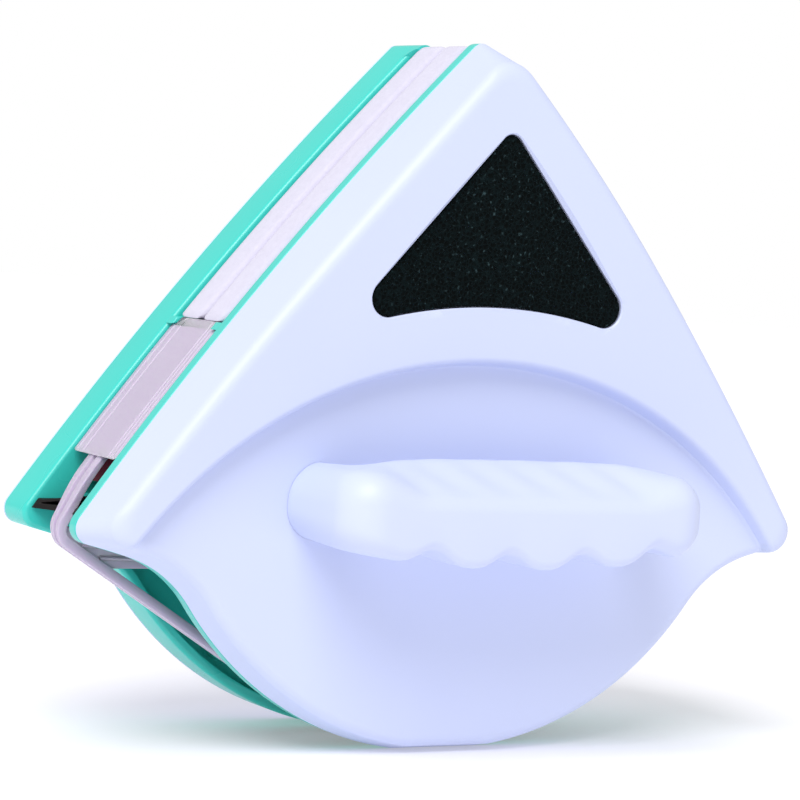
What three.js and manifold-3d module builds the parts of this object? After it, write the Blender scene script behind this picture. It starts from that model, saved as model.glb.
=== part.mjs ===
// Double-sided magnetic glass cleaner: two triangular halves that clamp a pane between them,
// stored face to face on a moulded separator frame. Millimetres, +Z up, +X right, front towards -Y.
// Each half is modelled in its own frame, in which +Y runs away from the glass.
import * as THREE from "three";
import { mergeVertices } from "three/addons/utils/BufferGeometryUtils.js";
import Module from "manifold-3d";

const wasm = await Module();
wasm.setup();

// ---- Outline, seen from the front ----
const crossHeight = 178.6; // where the two side curves would cross above the apex
const cornerHalfSpan = 105.2; // where a side curve would meet the lip line under it
const cornerHeight = 52.5;
const sideSagitta = 3.2; // how far each side bows outwards
const lipAngle = 15; // degrees that the lip under a corner falls towards the middle
const neckRadius = 32; // hollow curve between the lip and the round bottom
const lipOverhang = 17.2; // how far the corners stand out past the round bottom
const footHalfWidth = 12; // the small flat that it stands on
const apexRound = 3;
const cornerRound = 4;
const leastRound = 0.6;
const meshTolerance = 0.002;

// ---- Depths, measured from the middle of the glass gap ----
const trayFace = 12.8; // side of a tray that looks at the glass
const frontRim = 4.5; // from there to the parting line of the operator half
const backRim = 12; // and to that of the outdoor half
const coverDepth = 17.5; // back cover behind its parting line
const seam = 0.3; // gap kept between touching pieces

// ---- Front shell ----
const shellWall = 2.2;
const faceDepthAtFoot = 11; // upper face, produced down to the foot
const faceRise = 0.053; // and its slope: deeper towards the apex
const shellDraft = 1.6; // side walls lean in by this much
const shellEdge = 3; // roll of the front edge
const apexDraftRound = 13; // the apex is blunter at the face
const cornerDraftRound = 5.5;
const archRadius = 118; // the arched step between the two faces
const archPeak = 99.5;
const archDraft = 0.4; // its slope: millimetres outwards per millimetre of depth
const dishDepthAtFoot = 9.3; // lower face
const dishRise = 0.012;

// ---- Foam insert ----
const insertTopDrop = 22.4; // its straight sides would cross this far under the body's
const insertSplay = 1.36; // degrees by which they lean out from the body's
const insertRise = 13; // its lower edge runs concentric to the arch, this far above it
const insertRound = 4.5;
const insertTipRound = 3;
const insertPocket = 3.2;
const insertThickness = 2.4;

// ---- Handle ----
const gripHalfLength = 52;
const gripReach = 42; // outermost point beyond the parting line
const gripThickness = 16;
const gripLow = 50.4;
const gripHigh = 76;
const gripEndLow = 54.5;
const gripEndHigh = 71;
const gripFrontHigh = 66.5; // top of the front face, where the sloping top begins
const gripRound = 10;
const fingerRound = 6;
const legWidth = 11;
const grooveCount = 4;
const groovePitch = 20.5;
const grooveRadius = 12;
const grooveDepth = 2.4;
const handleScrewHeight = 57.5;

// ---- Trays ----
const trayWall = 2.2;
const trayFloor = 2.4;
const wellTop = 43; // the hollow behind the round bottom ends here
const wellLip = 2.6;
const wellDepth = 6;
const bossRadius = 4.3;
const bossSink = 1.6; // its top stays this far under the tray face
const lowerScrewInset = 9; // inside the round bottom
const lowerScrewAngle = 33.8; // degrees round it from its lowest point
const topScrewDrop = 16.6; // under the crossing of the side curves
const nibHeight = 104; // small hooks that close the lower ends of the full-width pads
const nibSize = 2.6;

// ---- Screws ----
const screwRadius = 1.45;
const screwHeadRadius = 2.9;
const screwHeadHeight = 1.5;
const screwClearance = 0.3;
const postRadius = 3.4;

// ---- Magnets and yoke ----
const magnetRadius = 11;
const magnetHeight = 6;
const magnetFit = 0.3;
const ringWall = 1.5;
const ringHeight = 4;
const yokeThickness = 2;
const yokeMargin = 2;
const sideMagnetInset = 23.4; // from the side curve to the magnet's axis
const sideMagnetHeight = 78;
const topMagnetDrop = 54.6;
const middleMagnetHeight = 84;

// ---- Pads ----
const padFace = 0.4; // each pad stops this far short of the middle of the gap
const padBacking = 1;
const padInset = 0.5; // full-width part, above the separator arms
const padWaistInset = 12.4; // narrow part, between the side blades
const padFoot = 64.5;
const padStep = 104.5;

// ---- Blades ----
const bladeThickness = 1.8;
const bladeTip = 1.2; // from the middle of the gap
const baseBladeHeight = 57;
const baseBladeEndInset = 2.8; // its ends stay this far inside the side curves
const bladeSpread = 1.7; // the upper lip rises by this much at its tip
const bladeRoot = 3;
const sideBladeInset = 8.3;
const sideBladeFoot = 63;
const sideBladeHead = 102;
const ribHeight = 2.8;
const ribThickness = 1.1;
const ribEndInset = 11.3;
const bladeClearance = 0.3;

// ---- Separator ----
const frameInset = 3.4;
const frameWidth = 4;
const frameHalfDepth = 4.4;
const shieldThickness = 2.1; // the wall that shields the side blades
const shieldFoot = 70.5;
const armTop = 103.2;
const frameRound = 5;
const frameSlope = 31.7; // degrees, of the straight bars under the corners
const barLow = 43;
const barHigh = 53;
const barHalfDepth = 0.9;
const webHalfDepth = 0.8; // what is left of the frame where it is notched for the blades
const notchClearance = 0.5;

// ---- Back cover ----
const coverShrink = 0.21; // its sides lean in, by this share of the way to its middle
const coverMiddleHeight = 80;
const pocketWidth = 20;
const pocketTall = 12;
const pocketDepth = 9.5;
const pocketDrop = 46.6;
const pinRadius = 1.5;
const pinSink = 2.4; // centre of the pin under the flat back
const pinSocket = 1.7;

const colours = {
  shellWhite: { color: 0xe6ecfb, roughness: 0.22, metalness: 0 },
  trayTeal: { color: 0x35cfc2, roughness: 0.3, metalness: 0 },
  padWhite: { color: 0xefeef8, roughness: 0.95, metalness: 0 },
  hookGrey: { color: 0xc9c9d2, roughness: 0.9, metalness: 0 },
  separatorMilk: { color: 0xd6cade, roughness: 0.4, metalness: 0 },
  bladeBlack: { color: 0x18191b, roughness: 0.6, metalness: 0 },
  foamBlack: { color: 0x141c1e, roughness: 1, metalness: 0 },
  steel: { color: 0xb9bcc0, roughness: 0.35, metalness: 1 },
  nickel: { color: 0xd5d3cd, roughness: 0.2, metalness: 1 },
};

// ---------------------------------------------------------------- plane geometry

const radians = THREE.MathUtils.degToRad;
const vec = (x, z) => new THREE.Vector2(x, z);
const onCircle = (centre, radius, angle) =>
  vec(centre.x + radius * Math.cos(angle), centre.y + radius * Math.sin(angle));

// Points along an arc, both ends included, the short way round.
function arc(centre, radius, from, to, steps) {
  const start = Math.atan2(from.y - centre.y, from.x - centre.x);
  let sweep = Math.atan2(to.y - centre.y, to.x - centre.x) - start;
  sweep = Math.atan2(Math.sin(sweep), Math.cos(sweep));
  return Array.from({ length: steps + 1 }, (_, i) =>
    onCircle(centre, radius, start + (sweep * i) / steps),
  );
}

// Where a line through point along direction meets a circle; side picks the root.
function lineMeetsCircle(point, direction, centre, radius, side) {
  const rel = point.clone().sub(centre);
  const half = rel.dot(direction);
  const root = Math.sqrt(half * half - rel.lengthSq() + radius * radius);
  return point.clone().addScaledVector(direction, -half + side * root);
}

// The circle that a side curve lies on: through the crossing point and the corner.
const apexPoint = vec(0, crossHeight);
const cornerPoint = vec(cornerHalfSpan, cornerHeight);
const sideChord = apexPoint.distanceTo(cornerPoint);
const sideRadius = (sideChord * sideChord) / (8 * sideSagitta) + sideSagitta / 2;
const chordInwards = vec(
  cornerPoint.y - apexPoint.y,
  apexPoint.x - cornerPoint.x,
).normalize();
const sideCentre = apexPoint
  .clone()
  .lerp(cornerPoint, 0.5)
  .addScaledVector(chordInwards, sideRadius - sideSagitta);
const bulgeRadius = cornerHalfSpan - lipOverhang;
const bulgeCentre = vec(0, Math.sqrt(bulgeRadius ** 2 - footHalfWidth ** 2));
const sideSlope = Math.atan2(crossHeight - cornerHeight, cornerHalfSpan);
const sideX = (z, inset) =>
  sideCentre.x + Math.sqrt((sideRadius - inset) ** 2 - (z - sideCentre.y) ** 2);

const mirrored = (half) => [
  ...half,
  ...half
    .filter((p) => Math.abs(p.x) > 1e-6)
    .reverse()
    .map((p) => vec(-p.x, p.y)),
];

// The body's outline moved inwards by inset, from the apex clockwise.
function outline(inset = 0, apexRadius = apexRound, cornerRadius = cornerRound) {
  const side = sideRadius - inset;
  const bulge = bulgeRadius - inset;
  const lip = vec(-Math.cos(radians(lipAngle)), -Math.sin(radians(lipAngle)));
  const up = vec(lip.y, -lip.x);
  const lipPoint = cornerPoint.clone().addScaledVector(up, inset);

  const ra = Math.max(apexRadius - inset, leastRound);
  const apexCentre = vec(
    0,
    sideCentre.y + Math.sqrt((side - ra) ** 2 - sideCentre.x ** 2),
  );
  const apexEnd = sideCentre.clone().lerp(apexCentre, side / (side - ra));

  const rc = Math.max(cornerRadius - inset, leastRound);
  const cornerCentre = lineMeetsCircle(
    lipPoint.clone().addScaledVector(up, rc),
    lip,
    sideCentre,
    side - rc,
    -1,
  );
  const cornerStart = sideCentre.clone().lerp(cornerCentre, side / (side - rc));
  const cornerEnd = cornerCentre.clone().addScaledVector(up, -rc);

  const rn = neckRadius + inset;
  const neckCentre = lineMeetsCircle(
    lipPoint.clone().addScaledVector(up, -rn),
    lip,
    bulgeCentre,
    bulge + rn,
    -1,
  );
  const neckStart = neckCentre.clone().addScaledVector(up, rn);
  const neckEnd = bulgeCentre.clone().lerp(neckCentre, bulge / (bulge + rn));
  const foot = vec(Math.sqrt(bulge ** 2 - (bulgeCentre.y - inset) ** 2), inset);

  return mirrored([
    ...arc(apexCentre, ra, vec(0, apexCentre.y + ra), apexEnd, 4),
    ...arc(sideCentre, side, apexEnd, cornerStart, 8).slice(1),
    ...arc(cornerCentre, rc, cornerStart, cornerEnd, 5).slice(1),
    ...arc(neckCentre, rn, neckStart, neckEnd, 5),
    ...arc(bulgeCentre, bulge, neckEnd, foot, 8).slice(1),
  ]);
}

// A convex polygon with its corners rounded.
function rounded(corners, radius, steps = 5) {
  return corners.flatMap((corner, i) => {
    const before = corners[(i + corners.length - 1) % corners.length];
    const after = corners[(i + 1) % corners.length];
    const a = before.clone().sub(corner).normalize();
    const b = after.clone().sub(corner).normalize();
    const half = Math.acos(THREE.MathUtils.clamp(a.dot(b), -1, 1)) / 2;
    const centre = corner
      .clone()
      .addScaledVector(a.clone().add(b).normalize(), radius / Math.sin(half));
    const reach = radius / Math.tan(half);
    const from = corner.clone().addScaledVector(a, reach);
    return arc(centre, radius, from, corner.clone().addScaledVector(b, reach), steps);
  });
}

// ---------------------------------------------------------------- solids

function solid(geometry) {
  const bare = geometry.clone();
  bare.deleteAttribute("normal");
  bare.deleteAttribute("uv");
  const merged = mergeVertices(bare, 1e-4);
  return new wasm.Manifold(
    new wasm.Mesh({
      numProp: 3,
      vertProperties: merged.attributes.position.array,
      triVerts: new Uint32Array(merged.index.array),
    }),
  );
}

// Slivers narrower than meshTolerance, which the booleans leave, are merged away.
function geometryOf(body) {
  const { vertProperties, triVerts } = body.simplify(meshTolerance).getMesh();
  return new THREE.BufferGeometry()
    .setAttribute("position", new THREE.BufferAttribute(vertProperties, 3))
    .setIndex(new THREE.BufferAttribute(triVerts, 1));
}

const join = (bodies) => bodies.reduce((all, body) => all.add(body));
const cut = (body, cutters) => cutters.reduce((rest, tool) => rest.subtract(tool), body);

// An outline in X and Z, extruded along Y from near to far.
function slab(points, near, far) {
  const shape = new THREE.Shape(points);
  const settings = { depth: far - near, bevelEnabled: false };
  return solid(
    new THREE.ExtrudeGeometry(shape, settings)
      .rotateX(Math.PI / 2)
      .translate(0, far, 0),
  );
}

// An outline in Y and Z, extruded along X, centred.
function bar(points, halfLength) {
  const shape = new THREE.Shape(points);
  const settings = { depth: 2 * halfLength, bevelEnabled: false };
  return solid(
    new THREE.ExtrudeGeometry(shape, settings)
      .translate(0, 0, -halfLength)
      .rotateX(Math.PI / 2)
      .rotateZ(Math.PI / 2),
  );
}

function box(x0, x1, y0, y1, z0, z1) {
  return solid(
    new THREE.BoxGeometry(x1 - x0, y1 - y0, z1 - z0).translate(
      (x0 + x1) / 2,
      (y0 + y1) / 2,
      (z0 + z1) / 2,
    ),
  );
}

// A cylinder along Y, from near to far, centred on x and z.
function rod(x, z, radius, near, far, segments = 24) {
  return solid(
    new THREE.CylinderGeometry(radius, radius, far - near, segments).translate(
      x,
      (near + far) / 2,
      z,
    ),
  );
}

// A skin over rings of equal length, closed by flat ends. The rings run away from the glass.
function loft(sections) {
  const flat = (ring) => ring.map((p) => vec(p.x, p.z));
  const turned = THREE.ShapeUtils.isClockWise(flat(sections[0]));
  const rings = turned ? sections.map((ring) => ring.toReversed()) : sections;
  const capOf = (ring) => THREE.ShapeUtils.triangulateShape(flat(ring), []);
  const count = rings[0].length;
  const last = (rings.length - 1) * count;
  const index = [
    ...capOf(rings[0]).flat(),
    ...capOf(rings.at(-1)).flatMap(([a, b, c]) => [last + a, last + c, last + b]),
  ];
  for (let r = 0; r < rings.length - 1; r++) {
    for (let i = 0; i < count; i++) {
      const a = r * count + i;
      const b = r * count + ((i + 1) % count);
      index.push(a, a + count, b, b, a + count, b + count);
    }
  }
  const positions = rings.flat().flatMap((p) => [p.x, p.y, p.z]);
  return solid(
    new THREE.BufferGeometry()
      .setAttribute("position", new THREE.Float32BufferAttribute(positions, 3))
      .setIndex(index),
  );
}

const ringAt = (points, depthOf) =>
  points.map((p) => new THREE.Vector3(p.x, depthOf(p.y), p.y));

// A round-headed screw along Y: the head is nearest to the glass side, the tip points away from it.
function screw(length) {
  const tip = 1.4;
  const profile = [
    vec(0, -screwHeadHeight),
    vec(screwHeadRadius * 0.8, -screwHeadHeight),
    vec(screwHeadRadius, -screwHeadHeight * 0.4),
    vec(screwHeadRadius, 0),
    vec(screwRadius, 0),
    vec(screwRadius, length - tip),
    vec(0, length),
  ];
  return new THREE.LatheGeometry(profile, 18);
}

// ---------------------------------------------------------------- front shell, insert and handle

const frontSplit = trayFace + frontRim;
const backSplit = trayFace + backRim;
const faceDepth = (z) => frontSplit + faceDepthAtFoot + faceRise * z;
const dishDepth = (z) => frontSplit + dishDepthAtFoot + dishRise * z;
const farOut = frontSplit + 70; // past every piece, for cutters

// The closed form of the front shell with its walls moved inwards by wall.
function shellForm(wall) {
  const start = frontSplit + seam / 2 - (wall ? 1 : 0);
  const steps = [
    { share: 0, lean: 0, round: 0 },
    { share: 0.75, lean: 0.75 * shellDraft, round: 0.75 },
    { share: 0.92, lean: shellDraft + 0.25 * shellEdge, round: 0.92 },
    { share: 1, lean: shellDraft + shellEdge, round: 1 },
  ];
  const rings = steps.map(({ share, lean, round }) =>
    ringAt(
      outline(
        wall + lean,
        apexRound + (apexDraftRound - apexRound) * round + wall + lean,
        cornerRound + (cornerDraftRound - cornerRound) * round + wall + lean,
      ),
      (z) => start + share * (faceDepth(z) - wall - start),
    ),
  );
  const arched = (grow, depthOf) => {
    const centre = vec(0, archPeak - archRadius);
    const radius = archRadius + wall + grow;
    const reach = radius * Math.sin(radians(80));
    const drop = radius * Math.cos(radians(80));
    const ends = [vec(reach, centre.y + drop), vec(-reach, centre.y + drop)];
    const top = arc(centre, radius, ends[0], vec(0, centre.y + radius), 14);
    const left = arc(centre, radius, vec(0, centre.y + radius), ends[1], 14).slice(1);
    return ringAt([...top, ...left], depthOf);
  };
  const dishFoot = -archDraft * (faceDepthAtFoot - dishDepthAtFoot + 3);
  const dish = loft([
    arched(dishFoot, (z) => dishDepth(z) - wall),
    arched(dishFoot + archDraft * (farOut - dishDepth(0)), () => farOut),
  ]);
  return loft(rings).subtract(dish);
}

// The insert's outline, moved outwards by grow: straight sides, and a foot concentric to the arch.
function insertOutline(grow) {
  const slope = sideSlope - radians(insertSplay);
  const down = vec(Math.cos(slope), -Math.sin(slope));
  const outwards = vec(Math.sin(slope), Math.cos(slope));
  const top = vec(0, crossHeight - insertTopDrop + grow / Math.cos(slope));
  const tip = insertTipRound + grow;
  const tipCentre = vec(0, top.y - tip / Math.cos(slope));
  const round = insertRound + grow;
  const foot = archRadius + insertRise - grow;
  const archCentre = vec(0, archPeak - archRadius);
  const cornerCentre = lineMeetsCircle(
    top.clone().addScaledVector(outwards, -round),
    down,
    archCentre,
    foot + round,
    -1,
  );
  const cornerEnd = archCentre.clone().lerp(cornerCentre, foot / (foot + round));
  return mirrored([
    ...arc(
      tipCentre,
      tip,
      vec(0, tipCentre.y + tip),
      tipCentre.clone().addScaledVector(outwards, tip),
      3,
    ),
    ...arc(
      cornerCentre,
      round,
      cornerCentre.clone().addScaledVector(outwards, round),
      cornerEnd,
      6,
    ),
    ...arc(archCentre, foot, cornerEnd, vec(0, archCentre.y + foot), 5).slice(1),
  ]);
}

const insertSheet = (grow, sink, thickness) => {
  const points = insertOutline(grow);
  return loft([
    ringAt(points, (z) => faceDepth(z) - sink - thickness),
    ringAt(points, (z) => faceDepth(z) - sink),
  ]);
};

function frontShell() {
  const pocketShell = insertSheet(shellWall, -1, insertPocket + shellWall + 1);
  const cavity = shellForm(shellWall).subtract(pocketShell);
  const pocket = insertSheet(seam, -1, insertPocket + 1);
  const body = cut(shellForm(0), [cavity, pocket]);
  const posts = trayScrews.map(({ x, z }) =>
    rod(x, z, postRadius, postStart(z), skinInside(z) + 0.5),
  );
  const bores = trayScrews.map(({ x, z }) =>
    rod(x, z, screwRadius + screwClearance / 2, postStart(z) - 1, screwEnd(z) + 1, 16),
  );
  const handleBores = [-1, 1].map((side) =>
    rod(
      side * handleScrewX,
      handleScrewHeight,
      screwRadius + screwClearance,
      frontSplit,
      farOut,
      16,
    ),
  );
  return cut(join([body, ...posts]), [...bores, ...handleBores]);
}

const handleFoot = dishDepth(gripHigh) + seam;
const gripFar = frontSplit + gripReach;
const gripNear = gripFar - gripThickness;
const handleScrewX = gripHalfLength - legWidth / 2 - 0.5;
const grooveCentres = Array.from(
  { length: grooveCount },
  (_, i) => (i - (grooveCount - 1) / 2) * groovePitch,
);

function handle() {
  const corners = [
    vec(gripHalfLength, handleFoot - 5),
    vec(gripHalfLength, gripFar),
    vec(-gripHalfLength, gripFar),
    vec(-gripHalfLength, handleFoot - 5),
  ];
  const inner = gripHalfLength - legWidth;
  const tunnel = [
    vec(inner, handleFoot - 20),
    vec(inner, gripNear),
    vec(-inner, gripNear),
    vec(-inner, handleFoot - 20),
  ];
  // Seen from above, seen from the front and seen from the side.
  const plan = (points, radius, low, high) =>
    solid(
      new THREE.ExtrudeGeometry(new THREE.Shape(rounded(points, radius, 6)), {
        depth: high - low,
        bevelEnabled: false,
      }).translate(0, 0, low),
    );
  const above = plan(corners, gripRound, 0, 120)
    .intersect(box(-200, 200, handleFoot, 200, -10, 200))
    .subtract(plan(tunnel, fingerRound, -10, 140));
  const waist = 12;
  const across = Array.from({ length: waist + 1 }, (_, i) => (2 * i) / waist - 1);
  const bow = (end, middle) => (share) => middle + (end - middle) * share ** 2;
  const lowEdge = bow(gripEndLow, gripLow);
  const highEdge = bow(gripEndHigh, gripHigh);
  const front = slab(
    [
      ...across.map((s) => vec(s * (gripHalfLength + 1), lowEdge(s))),
      ...across.toReversed().map((s) => vec(s * (gripHalfLength + 1), highEdge(s))),
    ],
    0,
    farOut,
  );
  const soften = 3;
  const side = bar(
    [
      vec(0, gripLow - 5),
      vec(gripFar - soften, gripLow - 5),
      vec(gripFar - soften, gripLow),
      vec(gripFar, gripLow + soften),
      vec(gripFar, gripFrontHigh - soften),
      vec(gripFar - soften, gripFrontHigh),
      vec(gripNear, gripHigh + 1),
      vec(0, gripHigh + 1),
    ],
    gripHalfLength + 5,
  );
  const grooves = grooveCentres.map((x) =>
    rod(x, gripLow + grooveDepth - grooveRadius, grooveRadius, gripNear - 5, farOut, 40),
  );
  const bores = [-1, 1].map((s) =>
    rod(
      s * handleScrewX,
      handleScrewHeight,
      screwRadius + screwClearance / 2,
      handleFoot - 1,
      handleFoot + handleScrewBite + 1.5,
      16,
    ),
  );
  return cut(above.intersect(front).intersect(side), [...grooves, ...bores]);
}

// ---------------------------------------------------------------- trays

const lowerScrew = onCircle(
  bulgeCentre,
  bulgeRadius - lowerScrewInset,
  radians(lowerScrewAngle - 90),
);
const trayScrews = [
  { name: "top", x: 0, z: crossHeight - topScrewDrop },
  { name: "left", x: -lowerScrew.x, z: lowerScrew.y },
  { name: "right", x: lowerScrew.x, z: lowerScrew.y },
];
const topMagnetHeight = crossHeight - topMagnetDrop;
const sideMagnetX = sideX(sideMagnetHeight, sideMagnetInset);
const magnets = [
  { name: "top", x: 0, z: topMagnetHeight },
  { name: "middle", x: 0, z: middleMagnetHeight },
  { name: "left", x: -sideMagnetX, z: sideMagnetHeight },
  { name: "right", x: sideMagnetX, z: sideMagnetHeight },
];
const handleScrewBite = 11;
const inWell = (z) => z < wellTop;
const seatDepth = (z) => trayFace + (inWell(z) ? bossSink : 0) + screwHeadHeight + seam;
const floorBack = (z) => trayFace + trayFloor + (inWell(z) ? wellDepth : 0);
const postStart = (z) => floorBack(z) + seam;
const skinInside = (z) => (z < archPeak ? dishDepth(z) : faceDepth(z)) - shellWall;
const screwEnd = (z) => Math.min(skinInside(z) - 0.6, seatDepth(z) + 14);

// The part of the outline's slab below a height.
const lower = (inset, near, far, high) =>
  slab(outline(inset), near, far).intersect(box(-200, 200, -200, 200, -10, high));

// A wall that follows a side of the body, between two insets and two heights.
function sideWall(sign, outer, inner, near, far, low, high) {
  const wall = slab(outline(outer), near, far).subtract(
    slab(outline(inner), near - 1, far + 1),
  );
  return wall.intersect(
    sign > 0 ? box(4, 200, -200, 200, low, high) : box(-200, -4, -200, 200, low, high),
  );
}

const rootHalf = bladeThickness / 2 + bladeClearance;
const baseRootHigh = baseBladeHeight + bladeThickness / 2 + 0.6;

function tray(split) {
  const rim = slab(outline(0), trayFace, split - seam / 2);
  const hollow = slab(outline(trayWall), trayFace + trayFloor, split + 1);
  // Where the well reaches past the parting line, it has to fit inside the shell's wall.
  const wellInset =
    floorBack(0) > split ? shellWall + shellDraft + seam + trayWall : wellLip;
  const wellOuter = lower(
    wellInset - trayWall,
    trayFace,
    floorBack(0),
    wellTop + trayWall,
  );
  const well = lower(wellInset, trayFace - 1, trayFace + wellDepth, wellTop);
  const bosses = trayScrews
    .filter(({ z }) => inWell(z))
    .map(({ x, z }) => rod(x, z, bossRadius, trayFace + bossSink, floorBack(z)));
  const holes = trayScrews.flatMap(({ x, z }) => [
    rod(x, z, screwRadius + screwClearance, trayFace - 1, floorBack(z) + 1, 16),
    rod(x, z, screwHeadRadius + screwClearance, trayFace - 1, seatDepth(z), 20),
  ]);
  const rings = magnets.map(({ x, z }) => {
    const bore = magnetRadius + magnetFit;
    const back = trayFace + trayFloor;
    return rod(x, z, bore + ringWall, back - 0.5, back + ringHeight, 32).subtract(
      rod(x, z, bore, back, back + ringHeight + 1, 32),
    );
  });
  const top = trayFace - ribHeight;
  const baseLow = baseBladeHeight - rootHalf;
  const baseHigh = baseRootHigh + bladeClearance;
  const ribEnd = sideX(baseBladeHeight, ribEndInset);
  const baseRibs = [
    [baseLow - ribThickness, baseLow],
    [baseHigh, baseHigh + ribThickness],
  ].map(([low, high]) =>
    box(-ribEnd, ribEnd, top, trayFace + 0.5, low, high),
  );
  const sideRibs = [-1, 1].flatMap((sign) =>
    [
      sideBladeInset - bladeClearance - ribThickness,
      sideBladeInset + bladeThickness + bladeClearance,
    ].map((inset) =>
      sideWall(
        sign,
        inset,
        inset + ribThickness,
        top,
        trayFace + 0.5,
        sideBladeFoot,
        sideBladeHead,
      ),
    ),
  );
  const nibs = [-1, 1].map((sign) =>
    sideWall(
      sign,
      0,
      nibSize - 1.6,
      trayFace - nibSize,
      trayFace + 0.5,
      nibHeight - 1.6,
      nibHeight,
    ),
  );
  const body = join([
    rim.subtract(hollow),
    wellOuter,
    ...rings,
    ...baseRibs,
    ...sideRibs,
    ...nibs,
  ]);
  return cut(join([body.subtract(well), ...bosses]), holes);
}

// ---------------------------------------------------------------- yoke, pads and blades

function yoke() {
  const grow = magnetRadius + yokeMargin;
  const corners = [
    vec(0, topMagnetHeight),
    vec(sideMagnetX, sideMagnetHeight),
    vec(-sideMagnetX, sideMagnetHeight),
  ];
  const middle = vec(0, (topMagnetHeight + 2 * sideMagnetHeight) / 3);
  // Moving a corner out along its bisector by r / sin(half angle) keeps r around each magnet.
  const spread = corners.map((corner, i) => {
    const a = corners[(i + 1) % 3].clone().sub(corner).normalize();
    const b = corners[(i + 2) % 3].clone().sub(corner).normalize();
    const half = Math.acos(a.dot(b)) / 2;
    const outwards = a.add(b).normalize().negate();
    return corner.clone().addScaledVector(outwards, grow / Math.sin(half));
  });
  const plate = slab(rounded(spread, grow, 8), yokeNear, yokeNear + yokeThickness);
  return plate.subtract(rod(middle.x, middle.y + 3, 3, 0, farOut, 20));
}
const magnetNear = trayFace + trayFloor + seam;
const yokeNear = magnetNear + magnetHeight + seam;

function padForm(near, far, shrink = 0) {
  const wide = slab(outline(padInset + shrink), near, far).intersect(
    box(-200, 200, -200, 200, padStep + shrink, 300),
  );
  const waist = slab(outline(padWaistInset + shrink), near, far).intersect(
    box(-200, 200, -200, 200, padFoot + shrink, padStep + 5),
  );
  return wide.add(waist);
}
const padBack = trayFace - seam;
const pad = () => padForm(padFace, padBack - padBacking - seam);
const backing = () => padForm(padBack - padBacking, padBack, 2);

const bladeBack = trayFace - seam;

function baseBlade() {
  const low = baseBladeHeight - bladeThickness / 2;
  const root = bladeBack - bladeRoot;
  const lip = 0.75 * bladeThickness;
  return bar(
    [
      vec(bladeTip, low),
      vec(bladeBack, low),
      vec(bladeBack, baseRootHigh),
      vec(root, baseRootHigh),
      vec(bladeTip + 1.2, baseRootHigh + bladeSpread),
      vec(bladeTip + 1, baseRootHigh + bladeSpread - 0.7),
      vec(root, low + lip + 0.25),
      vec(root, low + lip),
      vec(bladeTip, low + lip),
    ],
    sideX(baseBladeHeight, baseBladeEndInset),
  ).intersect(slab(outline(1.6), -1, 60));
}

const sideBlade = (sign) =>
  sideWall(
    sign,
    sideBladeInset,
    sideBladeInset + bladeThickness,
    bladeTip,
    bladeBack,
    sideBladeFoot + 0.5,
    sideBladeHead - 0.5,
  );

// ---------------------------------------------------------------- separator

// The frame's outline: the sides, straight bars under the corners, and the round bottom.
function frameOutline(inset) {
  const side = sideRadius - inset;
  const bulge = bulgeRadius - inset;
  const slope = radians(frameSlope);
  const direction = vec(Math.cos(slope), Math.sin(slope));
  const up = vec(-direction.y, direction.x);
  const leave = bulgeCentre.clone().addScaledVector(up, -bulge);
  const round = Math.max(frameRound - (inset - frameInset), leastRound);
  const centre = lineMeetsCircle(
    leave.clone().addScaledVector(up, round),
    direction,
    sideCentre,
    side - round,
    1,
  );
  const start = sideCentre.clone().lerp(centre, side / (side - round));
  const top = vec(0, sideCentre.y + Math.sqrt(side ** 2 - sideCentre.x ** 2));
  const foot = vec(Math.sqrt(bulge ** 2 - (bulgeCentre.y - inset) ** 2), inset);
  return mirrored([
    ...arc(sideCentre, side, top, start, 8),
    ...arc(centre, round, start, centre.clone().addScaledVector(up, -round), 5).slice(1),
    ...arc(bulgeCentre, bulge, leave, foot, 8),
  ]);
}

function separator() {
  const below = (high) => box(-200, 200, -200, 200, -10, high);
  const loop = slab(frameOutline(frameInset), -frameHalfDepth, frameHalfDepth)
    .subtract(slab(frameOutline(frameInset + frameWidth), -20, 20))
    .intersect(below(armTop));
  const shieldDepth = trayFace - seam - 0.1;
  const shields = slab(frameOutline(frameInset), -shieldDepth, shieldDepth)
    .subtract(slab(frameOutline(frameInset + shieldThickness), -20, 20))
    .intersect(box(-200, 200, -200, 200, shieldFoot, armTop));
  const middle = slab(
    frameOutline(frameInset + frameWidth / 2),
    -barHalfDepth,
    barHalfDepth,
  ).intersect(box(-200, 200, -200, 200, barLow, barHigh));
  const notchLow = baseBladeHeight - bladeThickness / 2 - notchClearance;
  const notchHigh = baseRootHigh + bladeSpread + notchClearance;
  const notches = [-1, 1].map((side) =>
    side > 0
      ? box(-200, 200, webHalfDepth, 30, notchLow, notchHigh)
      : box(-200, 200, -30, -webHalfDepth, notchLow, notchHigh),
  );
  return cut(join([loop, shields, middle]), notches);
}

// ---------------------------------------------------------------- back cover

const pocketHeight = crossHeight - pocketDrop;
const coverBack = backSplit + coverDepth;
const coverSkin = coverBack - shellWall;
const pinDepth = coverBack - pinSink;

function coverForm(wall) {
  const start = backSplit + seam / 2 - (wall ? 1 : 0);
  const end = coverBack - wall;
  const middle = vec(0, coverMiddleHeight);
  const steps = [
    { share: 0, lean: 0 },
    { share: 0.86, lean: 0.8 },
    { share: 1, lean: 1 },
  ];
  return loft(
    steps.map(({ share, lean }) =>
      ringAt(
        outline(wall).map((p) => p.lerp(middle, lean * coverShrink)),
        () => start + share * (end - start),
      ),
    ),
  );
}

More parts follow.
